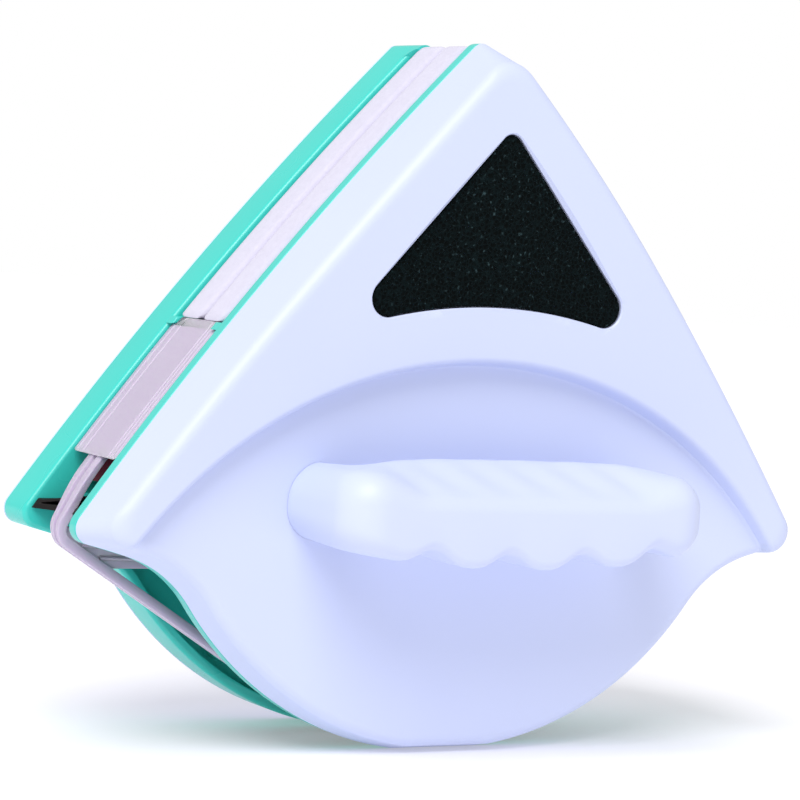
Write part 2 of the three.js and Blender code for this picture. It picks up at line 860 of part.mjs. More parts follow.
function backCover() {
  const half = pocketWidth / 2;
  const low = pocketHeight - pocketTall / 2;
  const high = pocketHeight + pocketTall / 2;
  const wall = shellWall + 0.4;
  const floor = coverBack - pocketDepth;
  const tub = box(-half - wall, half + wall, floor - wall, 99, low - wall, high + wall);
  const pocket = box(-half, half, floor, 99, low, high);
  const socket = box(
    -half - pinSocket,
    half + pinSocket,
    pinDepth - pinRadius - screwClearance,
    99,
    pocketHeight - pinRadius - screwClearance,
    pocketHeight + pinRadius + screwClearance,
  );
  const reach = coverForm(0).add(slab(outline(0), 0, backSplit + 1));
  const posts = trayScrews.map(({ x, z }) =>
    rod(x, z, postRadius, postStart(z), coverSkin + 0.5).intersect(reach),
  );
  const bores = trayScrews.map(({ x, z }) =>
    rod(x, z, screwRadius + screwClearance / 2, postStart(z) - 1, coverScrewEnd(z) + 1, 16),
  );
  const body = coverForm(0).subtract(coverForm(shellWall).subtract(tub));
  return cut(join([body, ...posts]), [pocket, socket, ...bores]);
}
const coverScrewEnd = (z) => Math.min(coverSkin - 1.5, seatDepth(z) + 14);

// ---------------------------------------------------------------- assembly

function piece(parent, name, shape, look, place = [0, 0, 0]) {
  const geometry = shape.isBufferGeometry ? shape : geometryOf(shape);
  const mesh = new THREE.Mesh(
    geometry,
    new THREE.MeshStandardMaterial({ ...colours[look], flatShading: true }),
  );
  mesh.name = name;
  mesh.position.set(...place);
  parent.add(mesh);
  return mesh;
}

// What both halves hold: tray, magnets, yoke, pad and blades. Turned is true for the half whose
// frame is turned round, where left and right change places.
function glassSide(group, prefix, split, turned, tipDepth) {
  const named = (name) => {
    if (!turned) return name;
    return { left: "right", right: "left" }[name] ?? name;
  };
  piece(group, `${prefix}_tray`, tray(split), "trayTeal");
  for (const { name, x, z } of trayScrews) {
    const seat = seatDepth(z);
    piece(
      group,
      `${prefix}_tray_screw_${named(name)}`,
      screw(tipDepth(z) - seat),
      "steel",
      [x, seat - seam / 2, z],
    );
  }
  for (const { name, x, z } of magnets) {
    piece(
      group,
      `${prefix}_magnet_${named(name)}`,
      new THREE.CylinderGeometry(magnetRadius, magnetRadius, magnetHeight, 32),
      "nickel",
      [x, magnetNear + magnetHeight / 2, z],
    );
  }
  piece(group, `${prefix}_yoke_plate`, yoke(), "steel");
  piece(group, `${prefix}_pad_backing`, backing(), "hookGrey");
  piece(group, `${prefix}_pad`, pad(), "padWhite");
  piece(group, `${prefix}_base_blade`, baseBlade(), "bladeBlack");
  for (const sign of [-1, 1]) {
    const name = named(sign > 0 ? "right" : "left");
    piece(group, `${prefix}_${name}_blade`, sideBlade(sign), "bladeBlack");
  }
}

const operatorHalf = new THREE.Group();
glassSide(operatorHalf, "front", frontSplit, true, screwEnd);
piece(operatorHalf, "front_shell", frontShell(), "shellWhite");
piece(
  operatorHalf,
  "foam_insert",
  insertSheet(0, insertPocket - insertThickness - seam, insertThickness),
  "foamBlack",
);
piece(operatorHalf, "handle", handle(), "shellWhite");
for (const [name, side] of [
  ["left", 1],
  ["right", -1],
]) {
  const seat = skinInside(handleScrewHeight) - seam / 2;
  piece(
    operatorHalf,
    `handle_screw_${name}`,
    screw(handleFoot + handleScrewBite - seat),
    "steel",
    [side * handleScrewX, seat, handleScrewHeight],
  );
}
operatorHalf.rotation.z = Math.PI;

const outdoorHalf = new THREE.Group();
glassSide(outdoorHalf, "back", backSplit, false, coverScrewEnd);
piece(outdoorHalf, "back_cover", backCover(), "shellWhite");
const pinLength = pocketWidth + 2 * (pinSocket - screwClearance);
piece(
  outdoorHalf,
  "cord_pin",
  new THREE.CylinderGeometry(pinRadius, pinRadius, pinLength, 20).rotateZ(Math.PI / 2),
  "steel",
  [0, pinDepth, pocketHeight],
);

const spacer = new THREE.Group();
piece(spacer, "separator", separator(), "separatorMilk");

// The origin lies under the middle of the whole object's box, on the surface that it stands on.
const cleaner = new THREE.Group();
cleaner.position.y = (gripFar - coverBack) / 2;
cleaner.add(operatorHalf, spacer, outdoorHalf);

export default cleaner;
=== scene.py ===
import math

import bmesh
import bpy
from mathutils import Matrix, Vector


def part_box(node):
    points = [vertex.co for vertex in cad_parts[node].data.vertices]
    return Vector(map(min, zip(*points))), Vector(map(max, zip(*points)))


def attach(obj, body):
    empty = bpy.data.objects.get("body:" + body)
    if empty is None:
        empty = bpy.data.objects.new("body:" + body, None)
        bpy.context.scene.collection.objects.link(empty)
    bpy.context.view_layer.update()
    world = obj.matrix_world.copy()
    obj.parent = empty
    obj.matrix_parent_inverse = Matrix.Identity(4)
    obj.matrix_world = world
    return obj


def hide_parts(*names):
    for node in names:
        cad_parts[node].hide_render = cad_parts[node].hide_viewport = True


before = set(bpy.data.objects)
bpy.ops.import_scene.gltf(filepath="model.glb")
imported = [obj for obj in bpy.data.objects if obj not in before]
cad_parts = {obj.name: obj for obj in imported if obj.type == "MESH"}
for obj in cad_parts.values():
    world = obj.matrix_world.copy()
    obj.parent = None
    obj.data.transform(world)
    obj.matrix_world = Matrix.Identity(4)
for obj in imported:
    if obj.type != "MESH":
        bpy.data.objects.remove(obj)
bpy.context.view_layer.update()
lowest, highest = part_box("separator")
gapMiddle = (lowest.y + highest.y) / 2 * 1000
front, back = -1, 1

# Outline of the body and its depths.

body = {
    "crossHeight": 178.6,  # where the two side curves would cross above the apex
    "cornerHalfSpan": 105.2,
    "cornerHeight": 52.5,
    "sideSagitta": 3.2,  # how far each side bows outwards
    "lipAngle": 15,  # degrees that the lip under a corner falls towards the middle
    "neckRadius": 32,
    "lipOverhang": 17.2,
    "footHalfWidth": 12,
    "apexRound": 3,
    "cornerRound": 4,
    "leastRound": 0.6,
    "trayFace": 12.8,  # depth of the tray face that looks at the glass
    "frontSplit": 17.3,  # depth of the parting line of each half
    "backSplit": 24.8,
    "coverBack": 42.3,
    "seam": 0.3,
}


def flat(x, z):
    return Vector((x, z))


def place(x, depth, z, side):
    return Vector((x, gapMiddle + side * depth, z)) / 1000


# Points along an arc, both ends included, the short way round.
def arc(centre, radius, start, end, steps):
    first = math.atan2(start.y - centre.y, start.x - centre.x)
    sweep = math.atan2(end.y - centre.y, end.x - centre.x) - first
    sweep = math.atan2(math.sin(sweep), math.cos(sweep))
    angles = [first + sweep * i / steps for i in range(steps + 1)]
    return [centre + radius * flat(math.cos(a), math.sin(a)) for a in angles]


# Where a line through point along direction meets a circle; root picks one of the two.
def lineMeetsCircle(point, direction, centre, radius, root):
    offset = point - centre
    half = offset.dot(direction)
    reach = math.sqrt(half * half - offset.length_squared + radius * radius)
    return point + direction * (root * reach - half)


def mirrored(half):
    return half + [flat(-p.x, p.y) for p in reversed(half) if abs(p.x) > 0.005]


apexPoint = flat(0, body["crossHeight"])
cornerPoint = flat(body["cornerHalfSpan"], body["cornerHeight"])
chord = cornerPoint - apexPoint
sideRadius = chord.length_squared / (8 * body["sideSagitta"]) + body["sideSagitta"] / 2
chordInwards = flat(chord.y, -chord.x).normalized()
sideCentre = (apexPoint + cornerPoint) / 2 + chordInwards * (sideRadius - body["sideSagitta"])
bulgeRadius = body["cornerHalfSpan"] - body["lipOverhang"]
bulgeCentre = flat(0, math.sqrt(bulgeRadius**2 - body["footHalfWidth"] ** 2))
sideSlope = math.atan2(-chord.y, chord.x)


def sideX(z, inset):
    return sideCentre.x + math.sqrt((sideRadius - inset) ** 2 - (z - sideCentre.y) ** 2)


# The body's outline moved inwards by inset, from the apex clockwise.
def outline(inset=0.0, apexRadius=None, cornerRadius=None):
    apexRadius = body["apexRound"] if apexRadius is None else apexRadius
    cornerRadius = body["cornerRound"] if cornerRadius is None else cornerRadius
    side = sideRadius - inset
    bulge = bulgeRadius - inset
    lipTurn = math.radians(body["lipAngle"])
    lip = flat(-math.cos(lipTurn), -math.sin(lipTurn))
    up = flat(lip.y, -lip.x)
    lipPoint = cornerPoint + up * inset

    ra = max(apexRadius - inset, body["leastRound"])
    apexCentre = flat(0, sideCentre.y + math.sqrt((side - ra) ** 2 - sideCentre.x**2))
    apexEnd = sideCentre.lerp(apexCentre, side / (side - ra))
    rc = max(cornerRadius - inset, body["leastRound"])
    cornerCentre = lineMeetsCircle(lipPoint + up * rc, lip, sideCentre, side - rc, -1)
    cornerStart = sideCentre.lerp(cornerCentre, side / (side - rc))
    cornerEnd = cornerCentre - up * rc
    rn = body["neckRadius"] + inset
    neckCentre = lineMeetsCircle(lipPoint - up * rn, lip, bulgeCentre, bulge + rn, -1)
    neckStart = neckCentre + up * rn
    neckEnd = bulgeCentre.lerp(neckCentre, bulge / (bulge + rn))
    foot = flat(math.sqrt(bulge**2 - (bulgeCentre.y - inset) ** 2), inset)
    return mirrored(
        arc(apexCentre, ra, apexCentre + flat(0, ra), apexEnd, 8)
        + arc(sideCentre, side, apexEnd, cornerStart, 60)[1:]
        + arc(cornerCentre, rc, cornerStart, cornerEnd, 10)[1:]
        + arc(neckCentre, rn, neckStart, neckEnd, 18)
        + arc(bulgeCentre, bulge, neckEnd, foot, 40)[1:]
        + [foot * (1 - share) + flat(0, inset) * share for share in (0.25, 0.5, 0.75, 1)]
    )


# Mesh helpers.


# A skin over rings of equal length. The rings are lists of points in space.
def skin(rings, caps=True):
    mesh = bmesh.new()
    order = mesh.verts.layers.int.new("order")
    verts = [mesh.verts.new(point) for point in rings[0]]
    for i, vert in enumerate(verts):
        vert[order] = i
    edges = [mesh.edges.new(pair) for pair in zip(verts, verts[1:] + verts[:1])]
    if caps:
        bmesh.ops.edgeloop_fill(mesh, edges=edges)
    for ring in rings[1:]:
        grown = bmesh.ops.extrude_edge_only(mesh, edges=edges)["geom"]
        for part in grown:
            if isinstance(part, bmesh.types.BMVert):
                part.co = ring[part[order]]
        edges = [part for part in grown if isinstance(part, bmesh.types.BMEdge)]
    if caps:
        bmesh.ops.edgeloop_fill(mesh, edges=edges)
    mesh.verts.layers.int.remove(order)
    return mesh


# A skin over an outline in x and z, a function of its inset, at (inset, depth) levels.
def swept(outlineAt, levels, side):
    return skin([[place(p.x, depth, p.y, side) for p in outlineAt(inset)] for inset, depth in levels])


# The levels of a rounded edge, from the side of a piece to its near face.
def rounded(edge, near, steps):
    turns = [math.pi / 2 * i / steps for i in range(steps + 1)]
    return [(edge * (1 - math.cos(t)), near + edge * (1 - math.sin(t))) for t in turns]


# An outline from far to near depth. The near edge is rounded, and the far one too where both is set.
def prism(outlineAt, near, far, side, edge=0.0, both=False, steps=4):
    nearLevels = rounded(edge, near, steps) if edge else [(0, near)]
    farLevels = [(inset, near + far - depth) for inset, depth in nearLevels]
    return swept(outlineAt, (farLevels[::-1] if both else [(0, far)]) + nearLevels, side)


# A box between two corners, given in millimetres, with rounded edges.
def block(low, high, edge=0.0, segments=2):
    mesh = bmesh.new()
    size = [(b - a) / 1000 for a, b in zip(low, high)]
    middle = Vector([(a + b) / 2000 for a, b in zip(low, high)])
    bmesh.ops.create_cube(mesh, size=1)
    bmesh.ops.scale(mesh, verts=mesh.verts, vec=size)
    bmesh.ops.translate(mesh, verts=mesh.verts, vec=middle)
    if edge:
        bevel(mesh, mesh.edges[:], edge, segments)
    return mesh


def blockAt(x, depth, z, side, edge=0.0):
    near, far = sorted(gapMiddle + side * d for d in depth)
    return block((x[0], near, z[0]), (x[1], far, z[1]), edge)


def bevel(mesh, edges, width, segments=2):
    bmesh.ops.bevel(
        mesh,
        geom=edges,
        offset=width / 1000,
        segments=segments,
        profile=0.5,
        affect="EDGES",
        material=-1,
        clamp_overlap=True,
    )


# A profile of (radius, depth) pairs spun round an axis along the depth, at x and z.
def turned(profile, x, z, side, steps=32):
    mesh = bmesh.new()
    verts = [mesh.verts.new(place(x + radius, depth, z, side)) for radius, depth in profile]
    edges = [mesh.edges.new(pair) for pair in zip(verts, verts[1:])]
    bmesh.ops.spin(
        mesh,
        geom=verts + edges,
        cent=place(x, 0, z, side),
        axis=(0, 1, 0),
        angle=math.tau,
        steps=steps,
        use_merge=True,
    )
    bmesh.ops.remove_doubles(mesh, verts=mesh.verts, dist=1e-6)
    bmesh.ops.recalc_face_normals(mesh, faces=mesh.faces)
    return mesh


def asObject(name, mesh):
    data = bpy.data.meshes.new(name)
    mesh.to_mesh(data)
    mesh.free()
    made = bpy.data.objects.new(name, data)
    bpy.context.scene.collection.objects.link(made)
    return made


def discard(made):
    data = made.data
    bpy.data.objects.remove(made)
    bpy.data.meshes.remove(data)


# The object's mesh with its modifiers applied; the object itself is used up.
def applied(made):
    graph = bpy.context.evaluated_depsgraph_get()
    data = bpy.data.meshes.new_from_object(made.evaluated_get(graph))
    result = bmesh.new()
    result.from_mesh(data)
    bpy.data.meshes.remove(data)
    discard(made)
    return result


# Separate closed shells as one mesh.
def together(*meshes):
    whole = bmesh.new()
    for mesh in meshes:
        part = asObject("part", mesh)
        whole.from_mesh(part.data)
        discard(part)
    return whole


def outwards(mesh, merge=1e-6):
    bmesh.ops.remove_doubles(mesh, verts=mesh.verts, dist=merge)
    bmesh.ops.recalc_face_normals(mesh, faces=mesh.faces)
    return mesh


# Joins or cuts the mesh with others: steps are (operation, mesh) pairs.
def combined(mesh, *steps):
    made = asObject("whole", outwards(mesh))
    tools = []
    for operation, other in steps:
        tool = asObject("tool", outwards(other))
        modifier = made.modifiers.new("combine", "BOOLEAN")
        modifier.operation = operation
        modifier.solver = "EXACT"
        modifier.object = tool
        tools.append(tool)
    result = applied(made)
    for tool in tools:
        discard(tool)
    return result


# Cuts a mesh level at a height, drops what is above (or below) and closes the cut.
def cutLevel(mesh, height, dropAbove=True):
    bmesh.ops.bisect_plane(
        mesh,
        geom=mesh.verts[:] + mesh.edges[:] + mesh.faces[:],
        dist=1e-6,
        plane_co=(0, 0, height / 1000),
        plane_no=(0, 0, 1),
        clear_outer=dropAbove,
        clear_inner=not dropAbove,
    )
    bmesh.ops.holes_fill(mesh, edges=[e for e in mesh.edges if e.is_boundary], sides=0)
    return mesh


# Edges sharper than the angle are rounded off.
def softened(mesh, width, angle=40, segments=2):
    bmesh.ops.remove_doubles(mesh, verts=mesh.verts, dist=1e-5)
    sharp = [e for e in mesh.edges if e.is_manifold and e.calc_face_angle() > math.radians(angle)]
    bevel(mesh, sharp, width, segments)
    return mesh


# The finished piece: smooth but for edges over the angle, riding on its body.
def addPiece(name, mesh, material, ridesOn, nodes, angle=34):
    outwards(mesh)
    for face in mesh.faces:
        face.smooth = True
    for edge in mesh.edges:
        edge.smooth = edge.calc_face_angle(0) < math.radians(angle)
    made = asObject(name, mesh)
    made.data.materials.append(material)
    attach(made, ridesOn)
    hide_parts(*nodes)
    return made


# Materials.


def linear(colour):
    parts = [int(colour[i : i + 2], 16) / 255 for i in (1, 3, 5)]
    return [p / 12.92 if p <= 0.04045 else ((p + 0.055) / 1.055) ** 2.4 for p in parts] + [1]


# A node with its settings and links; a socket is given by name or by number.
def addNode(tree, kind, settings=None, links=None):
    node = tree.nodes.new(kind)
    for key, value in (settings or {}).items():
        if isinstance(key, int) or key in node.inputs:
            node.inputs[key].default_value = value
        else:
            setattr(node, key, value)
    for key, socket in (links or {}).items():
        tree.links.new(socket, node.inputs[key])
    return node


def newMaterial(name):
    material = bpy.data.materials.new(name)
    material.use_nodes = True
    tree = material.node_tree
    tree.nodes.clear()
    return material, tree, addNode(tree, "ShaderNodeTexCoord").outputs["Object"]


def addShader(tree, settings, links=None):
    shader = addNode(tree, "ShaderNodeBsdfPrincipled", settings, links)
    addNode(tree, "ShaderNodeOutputMaterial", {}, {"Surface": shader.outputs[0]})


# What every finish ends in: a tint between two colours and, from the same pattern, a gloss between
# two values, then a relief from a pattern of its own. Sizes in a look are millimetres.
def addFinish(tree, look, tone, relief, under=None):
    tint = addNode(
        tree,
        "ShaderNodeMix",
        {"data_type": "RGBA", 6: linear(look["colour"]), 7: linear(look["tint"])},
        {0: tone, 6: under} if under else {0: tone},
    )
    bump = addNode(
        tree,
        "ShaderNodeBump",
        {"Strength": look["strength"], "Distance": look["height"] / 1000, "invert": "invert" in look},
        {"Height": relief},
    )
    links = {"Base Color": tint.outputs[2], "Normal": bump.outputs[0]}
    if "gloss" in look:
        low, high = look["gloss"]
        gloss = addNode(tree, "ShaderNodeMapRange", {"To Min": low, "To Max": high}, {"Value": tone})
        links["Roughness"] = gloss.outputs[0]
    addShader(tree, look["shader"], links)


# A moulded plastic: two close colours in soft clouds, a slightly uneven gloss and the fine
# waviness of a moulded skin.
def moulded(name, look):
    material, tree, where = newMaterial(name)
    clouds = addNode(
        tree,
        "ShaderNodeTexNoise",
        {"Scale": 1000 / look["cloud"], "Detail": 2, "Roughness": 0.5},
        {"Vector": where},
    )
    waves = addNode(
        tree, "ShaderNodeTexNoise", {"Scale": 1000 / look["wave"], "Detail": 1}, {"Vector": where}
    )
    addFinish(tree, look, clouds.outputs[0], waves.outputs[0])
    return material


# Injection-moulded ABS: glossy, cool white, with a barely wavy skin that breaks up reflections.
absWhite = moulded(
    "absMouldedWhite",
    {
        "shader": {"IOR": 1.53, "Specular IOR Level": 0.5},
        "colour": "#ccd5f6",
        "tint": "#d2daf7",
        "cloud": 60,
        "gloss": (0.42, 0.5),
        "wave": 3,
        "strength": 0.25,
        "height": 0.02,
    },
)

# The same ABS coloured teal through and through: saturated, with bright clean highlights.
absTeal = moulded(
    "absMouldedTeal",
    {
        "shader": {"IOR": 1.53, "Specular IOR Level": 0.5},
        "colour": "#36cbbf",
        "tint": "#41d3c7",
        "cloud": 50,
        "gloss": (0.22, 0.32),
        "wave": 3,
        "strength": 0.25,
        "height": 0.02,
    },
)

# Moulded polypropylene without pigment: waxy and milky, so light bleeds through thin walls.
polypropyleneMilky = moulded(
    "polypropyleneMouldedMilky",
    {
        "shader": {
            "IOR": 1.49,
            "Subsurface Weight": 0.8,
            "Subsurface Radius": (1.0, 0.8, 1.0),
            "Subsurface Scale": 0.002,
        },
        "colour": "#bcb0c6",
        "tint": "#c6bbd0",
        "cloud": 20,
        "gloss": (0.3, 0.42),
        "wave": 2,
        "strength": 0.3,
        "height": 0.03,
    },
)


# Needled polyester fleece: matt and soft, with matted fibres and a faint sheen at the edges.
def needledFleece():
    look = {
        "shader": {"Roughness": 0.95, "Sheen Weight": 0.25, "Sheen Roughness": 0.5, "IOR": 1.5},
        "colour": "#d0cce0",
        "tint": "#dedbec",
        "clump": 2.2,
        "fibre": 0.45,
        "strength": 0.5,
        "height": 0.25,
    }
    material, tree, where = newMaterial("polyesterNeedledFleece")
    clumps = addNode(
        tree,
        "ShaderNodeTexNoise",
        {"Scale": 1000 / look["clump"], "Detail": 4, "Roughness": 0.6, "Distortion": 0.6},
        {"Vector": where},
    )
    fibres = addNode(
        tree,
        "ShaderNodeTexNoise",
        {"Scale": 1000 / look["fibre"], "Detail": 3, "Roughness": 0.7, "Distortion": 1.5},
        {"Vector": where},
    )
    nap = addNode(
        tree, "ShaderNodeMath", {"operation": "ADD"}, {0: clumps.outputs[0], 1: fibres.outputs[0]}
    )
    addFinish(tree, look, clumps.outputs[0], nap.outputs[0])
    return material


# Cut open-cell polyurethane foam: near-black pores, painted darker than the cell walls as their shade, and
# a few cell walls painted paler as highlights.
def openCellFoam():
    look = {
        "shader": {"Roughness": 0.92, "IOR": 1.5, "Specular IOR Level": 0.08},
        "poreShade": "#020606",
        "colour": "#0a1719",
        "tint": "#40565a",
        "cell": 1.15,
        "swirl": 900,  # per metre, the swirls that make the cells uneven
        "wall": 0.25,  # share of a cell that its wall takes up
        "palest": (0.62, 0.78),
        "strength": 0.9,
        "height": 0.5,
    }
    material, tree, where = newMaterial("polyurethaneOpenCellFoam")
    swirl = addNode(tree, "ShaderNodeTexNoise", {"Scale": look["swirl"], "Detail": 1}, {"Vector": where})
    bent = addNode(
        tree, "ShaderNodeMix", {"data_type": "VECTOR", 0: 0.0006}, {4: where, 5: swirl.outputs[1]}
    )
    cells = addNode(
        tree,
        "ShaderNodeTexVoronoi",
        {"Scale": 1000 / look["cell"], "feature": "DISTANCE_TO_EDGE"},
        {"Vector": bent.outputs[1]},
    )
    walls = addNode(
        tree,
        "ShaderNodeMapRange",
        {"From Max": look["wall"], "To Min": 1.0, "To Max": 0.0},
        {"Value": cells.outputs[0]},
    )
    grain = addNode(
        tree, "ShaderNodeTexNoise", {"Scale": 1000 / look["cell"], "Detail": 2}, {"Vector": where}
    )
    lit = addNode(
        tree,
        "ShaderNodeMapRange",
        {"From Min": look["palest"][0], "From Max": look["palest"][1]},
        {"Value": grain.outputs[0]},
    )
    # Painted shade: the pores between the cell walls are darker than the walls.
    base = addNode(
        tree,
        "ShaderNodeMix",
        {"data_type": "RGBA", 6: linear(look["poreShade"]), 7: linear(look["colour"])},
        {0: walls.outputs[0]},
    )
    # Painted highlights: where the grain is high, cell walls turn paler as if they caught the light.
    glint = addNode(
        tree, "ShaderNodeMath", {"operation": "MULTIPLY"}, {0: walls.outputs[0], 1: lit.outputs[0]}
    )
    addFinish(tree, look, glint.outputs[0], walls.outputs[0], base.outputs[2])
    return material


# Rubber, extruded and cut: dark and almost matt, with faint drag lines along its length.
def extrudedRubber(name, colour, tint):
    look = {
        "shader": {"IOR": 1.52, "Specular IOR Level": 0.25},
        "colour": colour,
        "tint": tint,
        "gloss": (0.45, 0.65),
        "lines": (120, 1500, 1500),  # per metre: lines 8 mm long, drawn 0.7 mm apart so that they show
        "strength": 0.3,
        "height": 0.04,
    }
    material, tree, where = newMaterial(name)
    stretch = addNode(tree, "ShaderNodeMapping", {"Scale": look["lines"]}, {"Vector": where})
    drag = addNode(tree, "ShaderNodeTexNoise", {"Scale": 1, "Detail": 3}, {"Vector": stretch.outputs[0]})
    addFinish(tree, look, drag.outputs[0], drag.outputs[0])
    return material


# Plated metal: a mirror broken by fine tumbled grain, with drifting patches in its gloss.
def plated(name, colour, tint, gloss, grain):
    look = {
        "shader": {"Metallic": 1},
        "colour": colour,
        "tint": tint,
        "gloss": gloss,
        "patch": 6,
        "strength": 0.25,
        "height": 0.02,
    }
    material, tree, where = newMaterial(name)
    patches = addNode(
        tree, "ShaderNodeTexNoise", {"Scale": 1000 / look["patch"], "Detail": 4}, {"Vector": where}
    )
    fine = addNode(tree, "ShaderNodeTexNoise", {"Scale": 1000 / grain, "Detail": 2}, {"Vector": where})
    addFinish(tree, look, patches.outputs[0], fine.outputs[0])
    return material


# Moulded nylon hook sheet: rows of tiny hooks, drawn 1.2 mm apart so that they show, pale on their tops
# with painted shade in the hollows between them.
def hookSheet():
    look = {
        "shader": {"IOR": 1.53, "Roughness": 0.6},
        "colour": "#d4d4dc",
        # the darker colour is painted shade, deepest midway between the hooks
        "tint": "#8f8f9a",
        "pitch": 1.2,
        "strength": 0.8,
        "height": 0.5,
        "invert": True,
    }
    material, tree, where = newMaterial("nylonMouldedHookSheet")
    rows = addNode(
        tree,
        "ShaderNodeTexVoronoi",
        {"Scale": 1000 / look["pitch"], "Randomness": 0.15},
        {"Vector": where},
    )
    addFinish(tree, look, rows.outputs[0], rows.outputs[0])
    return material


fleece = needledFleece()
foam = openCellFoam()
rubberBlack = extrudedRubber("rubberExtrudedBlack", "#0f0c0b", "#191312")
rubberMaroon = extrudedRubber("rubberExtrudedMaroon", "#6c1c30", "#7a293e")
steelZinc = plated("steelZincPlated", "#b4b8bd", "#c6c8c6", (0.28, 0.42), 0.3)
nickel = plated("neodymiumNickelPlated", "#cfccc4", "#d8d6d0", (0.15, 0.25), 0.4)
hooks = hookSheet()
print("materials ready:", len(bpy.data.materials))

# Front shell.

shell = {
    "wall": 2.2,
    "faceAtFoot": 11,  # upper face, produced down to the foot, beyond the parting line
    "faceRise": 0.053,
    "faceFall": 0.0018,  # per mm, how fast the face falls away above fallFrom
    "fallFrom": 125,
    "dishAtFoot": 9.3,
    "dishRise": 0.012,
    "draft": 1.6,  # the side walls lean in by this much
    "edge": 3,  # roll of the front edge
    "apexRound": 9,
    "cornerRound": 5.5,
    "archRadius": 118,
    "archPeak": 99.5,
    "stepFoot": 115.45,  # radius at which the arched step begins to rise
    "footFillet": 0.7,
    "lipRound": 1.6,
    "stepSlope": 79,
    "wallSteps": 4,
    "rollSteps": 7,
    "rimInset": 0.7,
    "roundInWall": 0.85,  # share of the change of the rounds that the wall has, before the roll
    "stepBand": (-0.3, 5.4),  # where the rows are fine, from the foot of the step
    "rowsFine": 0.3,
    "rowsCoarse": 2.6,
    "columns": 2.4,
}
archCentre = flat(0, shell["archPeak"] - shell["archRadius"])


def faceDepth(z):
    fall = shell["faceFall"] * max(z - shell["fallFrom"], 0) ** 2
    return body["frontSplit"] + shell["faceAtFoot"] + shell["faceRise"] * z - fall


def dishDepth(z):
    return body["frontSplit"] + shell["dishAtFoot"] + shell["dishRise"] * z


# Depth of the shell's front surface: the dish, the face above it and the rounded step between.
def frontDepth(x, z):
    rise = faceDepth(z) - dishDepth(z)
    away = (flat(x, z) - archCentre).length - shell["stepFoot"]
    turn = math.radians(shell["stepSlope"])
    fillet, lip = shell["footFillet"], shell["lipRound"]
    straight = (rise - (fillet + lip) * (1 - math.cos(turn))) / math.tan(turn)
    filletEnd = fillet * math.sin(turn)
    lipStart = filletEnd + straight
    end = lipStart + lip * math.sin(turn)
    if away <= 0:
        height = 0
    elif away < filletEnd:
        height = fillet - math.sqrt(fillet**2 - away**2)
    elif away < lipStart:
        height = fillet * (1 - math.cos(turn)) + (away - filletEnd) * math.tan(turn)
    elif away < end:
        height = rise - lip + math.sqrt(lip**2 - (end - away) ** 2)
    else:
        height = rise
    return dishDepth(z) + height


insert = {
    "topDrop": 22.4,
    "splay": 1.36,
    "rise": 13,
    "round": 4.5,
    "tipRound": 3,
    "pocket": 3.2,
    "thickness": 2.4,
    "sink": 0.5,
    "gap": 0.3,
    "chamfer": 0.35,
    "edge": 0.5,
    "pan": 2.4,
}


# The insert's outline, moved outwards by grow.
def insertOutline(grow):
    slope = sideSlope - math.radians(insert["splay"])
    down = flat(math.cos(slope), -math.sin(slope))
    away = flat(math.sin(slope), math.cos(slope))
    top = flat(0, body["crossHeight"] - insert["topDrop"] + grow / math.cos(slope))
    tip = insert["tipRound"] + grow
    tipCentre = flat(0, top.y - tip / math.cos(slope))
    turn = insert["round"] + grow
    foot = shell["archRadius"] + insert["rise"] - grow
    centre = lineMeetsCircle(top - away * turn, down, archCentre, foot + turn, -1)
    cornerEnd = archCentre.lerp(centre, foot / (foot + turn))
    return mirrored(
        arc(tipCentre, tip, tipCentre + flat(0, tip), tipCentre + away * tip, 8)
        + arc(centre, turn, centre + away * turn, cornerEnd, 14)
        + arc(archCentre, foot, cornerEnd, archCentre + flat(0, foot), 24)[1:]
    )


# A solid let into the shell's face, at (grow, sink) levels.
def insertSheet(levels):
    return skin(
        [
            [place(p.x, faceDepth(p.y) - sink, p.y, front) for p in insertOutline(grow)]
            for grow, sink in levels
        ]
    )


# The outline where the shell's wall (level 0 to 1) and rolled edge (1 to 2) have come to a level.
def shellRing(level, more=0.0):
    rolled = max(level - 1, 0)
    lean = shell["draft"] * min(level, 1) + shell["edge"] * (1 - math.cos(rolled * math.pi / 2)) + more
    growth = shell["roundInWall"] * min(level, 1) + (1 - shell["roundInWall"]) * rolled
    apexRadius = body["apexRound"] + (shell["apexRound"] - body["apexRound"]) * growth
    cornerRadius = body["cornerRound"] + (shell["cornerRound"] - body["cornerRound"]) * growth
    ring = outline(lean, apexRadius + lean, cornerRadius + lean)
    return [Vector((p.x, level, p.y)) for p in ring]


